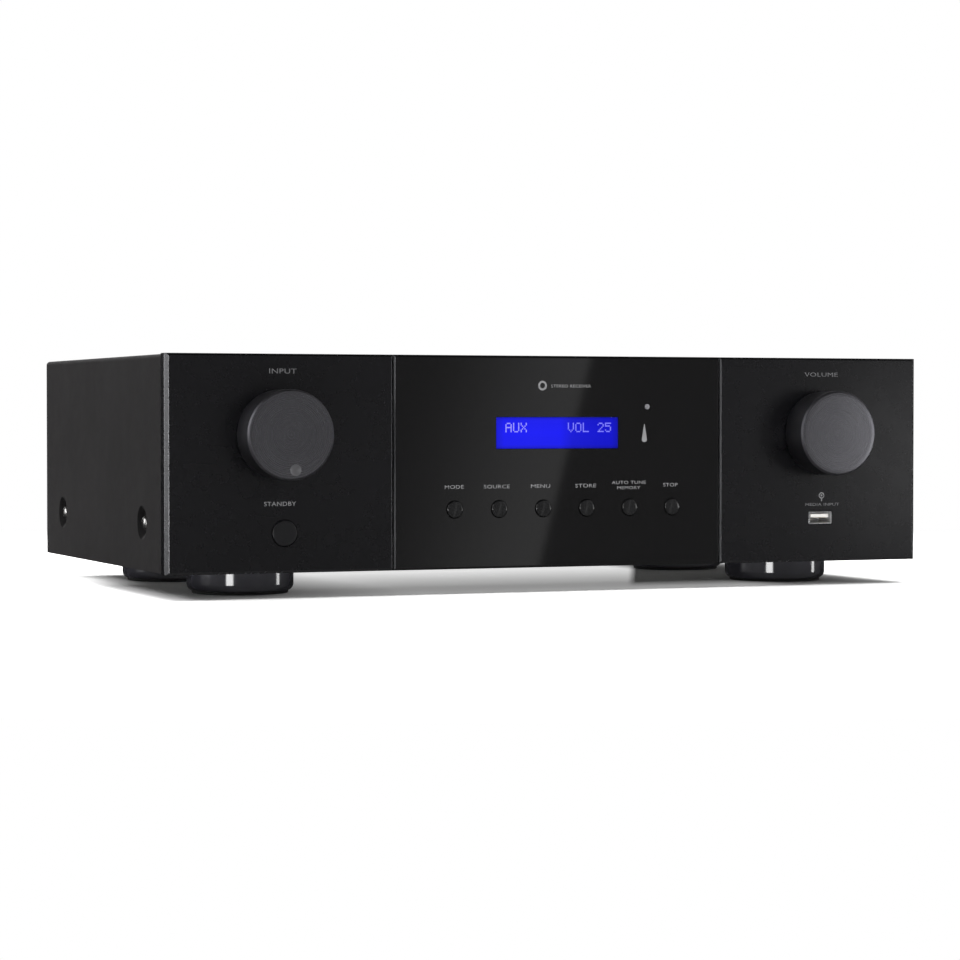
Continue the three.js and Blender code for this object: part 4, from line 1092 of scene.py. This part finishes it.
def wstep(v, lo, hi):
    n = wt.nodes.new("ShaderNodeMapRange")
    n.interpolation_type = "SMOOTHSTEP"
    n.inputs["From Min"].default_value = lo
    n.inputs["From Max"].default_value = hi
    wt.links.new(v, n.inputs["Value"])
    return n.outputs["Result"]


def panel(az0, az1, el0, el1, level, soft_az=2.0, soft_el=3.0, az=None):
    """a softbox as a patch of sky: azimuth and elevation limits in degrees."""
    src = AZ if az is None else az
    m = wmath("MULTIPLY", wstep(src, (az0 - soft_az) * DEG, az0 * DEG), wmath("SUBTRACT", 1.0, wstep(src, az1 * DEG, (az1 + soft_az) * DEG)))
    e = wmath("MULTIPLY", wstep(EL, (el0 - soft_el) * DEG, el0 * DEG), wmath("SUBTRACT", 1.0, wstep(EL, el1 * DEG, (el1 + soft_el) * DEG)))
    return wmath("MULTIPLY", wmath("MULTIPLY", m, e), level)


def wsum(items):
    t = items[0]
    for i in items[1:]:
        t = wmath("ADD", t, i)
    return t


# what shiny surfaces mirror
slanted = wmath("SUBTRACT", AZ, wmath("MULTIPLY", EL, 0.25))
rise = wstep(slanted, 20.6 * DEG, 24.4 * DEG)
window_card = wmath("MULTIPLY", wmath("MULTIPLY", wmath("MULTIPLY", rise, wmath("SUBTRACT", 1.0, wstep(slanted, 24.10 * DEG, 24.32 * DEG))),
                    wmath("SUBTRACT", 1.0, wstep(EL, 20 * DEG, 40 * DEG))), WINDOW_CARD)
facing = wmath("SUBTRACT", 1.0, wstep(wsep.outputs["Y"], -0.2, 0.45))
gloss = wsum([
    wmath("MULTIPLY", wmath("MULTIPLY", wmath("SUBTRACT", 1.0, wstep(EL, 35 * DEG, 70 * DEG)), facing), GLOSS_BASE),
    window_card,
    panel(-46, -33, -6, -1, FOOT_LEFT, 2, 1.5),
    panel(69, 75, -6, -1, FOOT_RIGHT, 2, 1.5),
    panel(-84, -58, 0, 40, SIDE_LEFT, 4, 2.5),
    panel(-108, -88, 0, 35, KNOB_LEFT, 4, 3),
    panel(72, 92, 6, 45, SIDE_RIGHT, 4, 3),
    panel(150, 179, 8, 50, REAR_GLOSS, 10, 8),
    panel(-180, -172, 8, 50, REAR_GLOSS, 10, 8),
    wmath("MULTIPLY", wmath("SUBTRACT", 1.0, wstep(EL, -60 * DEG, -35 * DEG)), FLOOR_GLOSS),
    GLOSS_FLOOR_LEVEL,
])
# what lights the matt surfaces: an even dome, brighter low down behind (the sweep)
behind = wmath("MULTIPLY", wstep(wsep.outputs["Y"], -0.1, 0.5), wmath("SUBTRACT", 1.0, wstep(EL, 15 * DEG, 45 * DEG)))
diffuse = wsum([wmath("ADD", wmath("MULTIPLY", behind, SWEEP), 0.0), wmath("MULTIPLY", wstep(EL, -20 * DEG, 5 * DEG), DOME)])


def background(strength):
    n = wt.nodes.new("ShaderNodeBackground")
    n.inputs["Color"].default_value = (1, 1, 1, 1)
    if hasattr(strength, "links"):
        wt.links.new(strength, n.inputs["Strength"])
    else:
        n.inputs["Strength"].default_value = strength
    return n.outputs[0]


mix1 = wt.nodes.new("ShaderNodeMixShader")
wt.links.new(lp.outputs["Is Glossy Ray"], mix1.inputs[0])
wt.links.new(background(diffuse), mix1.inputs[1])
wt.links.new(background(gloss), mix1.inputs[2])
mix2 = wt.nodes.new("ShaderNodeMixShader")
wt.links.new(lp.outputs["Is Camera Ray"], mix2.inputs[0])
wt.links.new(mix1.outputs[0], mix2.inputs[1])
wt.links.new(background(1.0), mix2.inputs[2])
wt.links.new(mix2.outputs[0], out.inputs[0])


def area(name, loc, target, size, size_y, power, color=(1, 1, 1), glossy=True):
    li = bpy.data.lights.new(name, "AREA")
    li.shape = "RECTANGLE"
    li.size = size
    li.size_y = size_y
    li.energy = power
    li.color = color
    o = bpy.data.objects.new(name, li)
    coll.objects.link(o)
    o.location = loc
    d = Vector(target) - Vector(loc)
    o.rotation_euler = d.to_track_quat("-Z", "Y").to_euler()
    o.visible_camera = False
    o.visible_glossy = glossy
    return o


area("top_soft", (0.0, 0.05, 1.5), (0, 0.05, 0), 2.6, 2.2, TOP_W, glossy=False)
area("key_right", (1.3, -1.35, 0.75), (0, 0, 0.06), 0.7, 0.7, KEY_W, glossy=False)
area("fill_left", (-1.3, 1.0, 0.9), (-0.2, 0.0, 0.05), 0.45, 0.45, FILL_W, glossy=False)

# a narrow upright card close to the right front, seen only as a reflection
card = area("card_right", (0.575, -0.521, 0.063), (0.575, 1.0, 0.063), 0.35, 0.12, FRONT_RIGHT * math.pi * 0.35 * 0.12)
card.visible_diffuse = False

scene.view_settings.view_transform = "Standard"
scene.view_settings.look = "None"
scene.view_settings.exposure = 0.0
scene.view_settings.gamma = 1.0
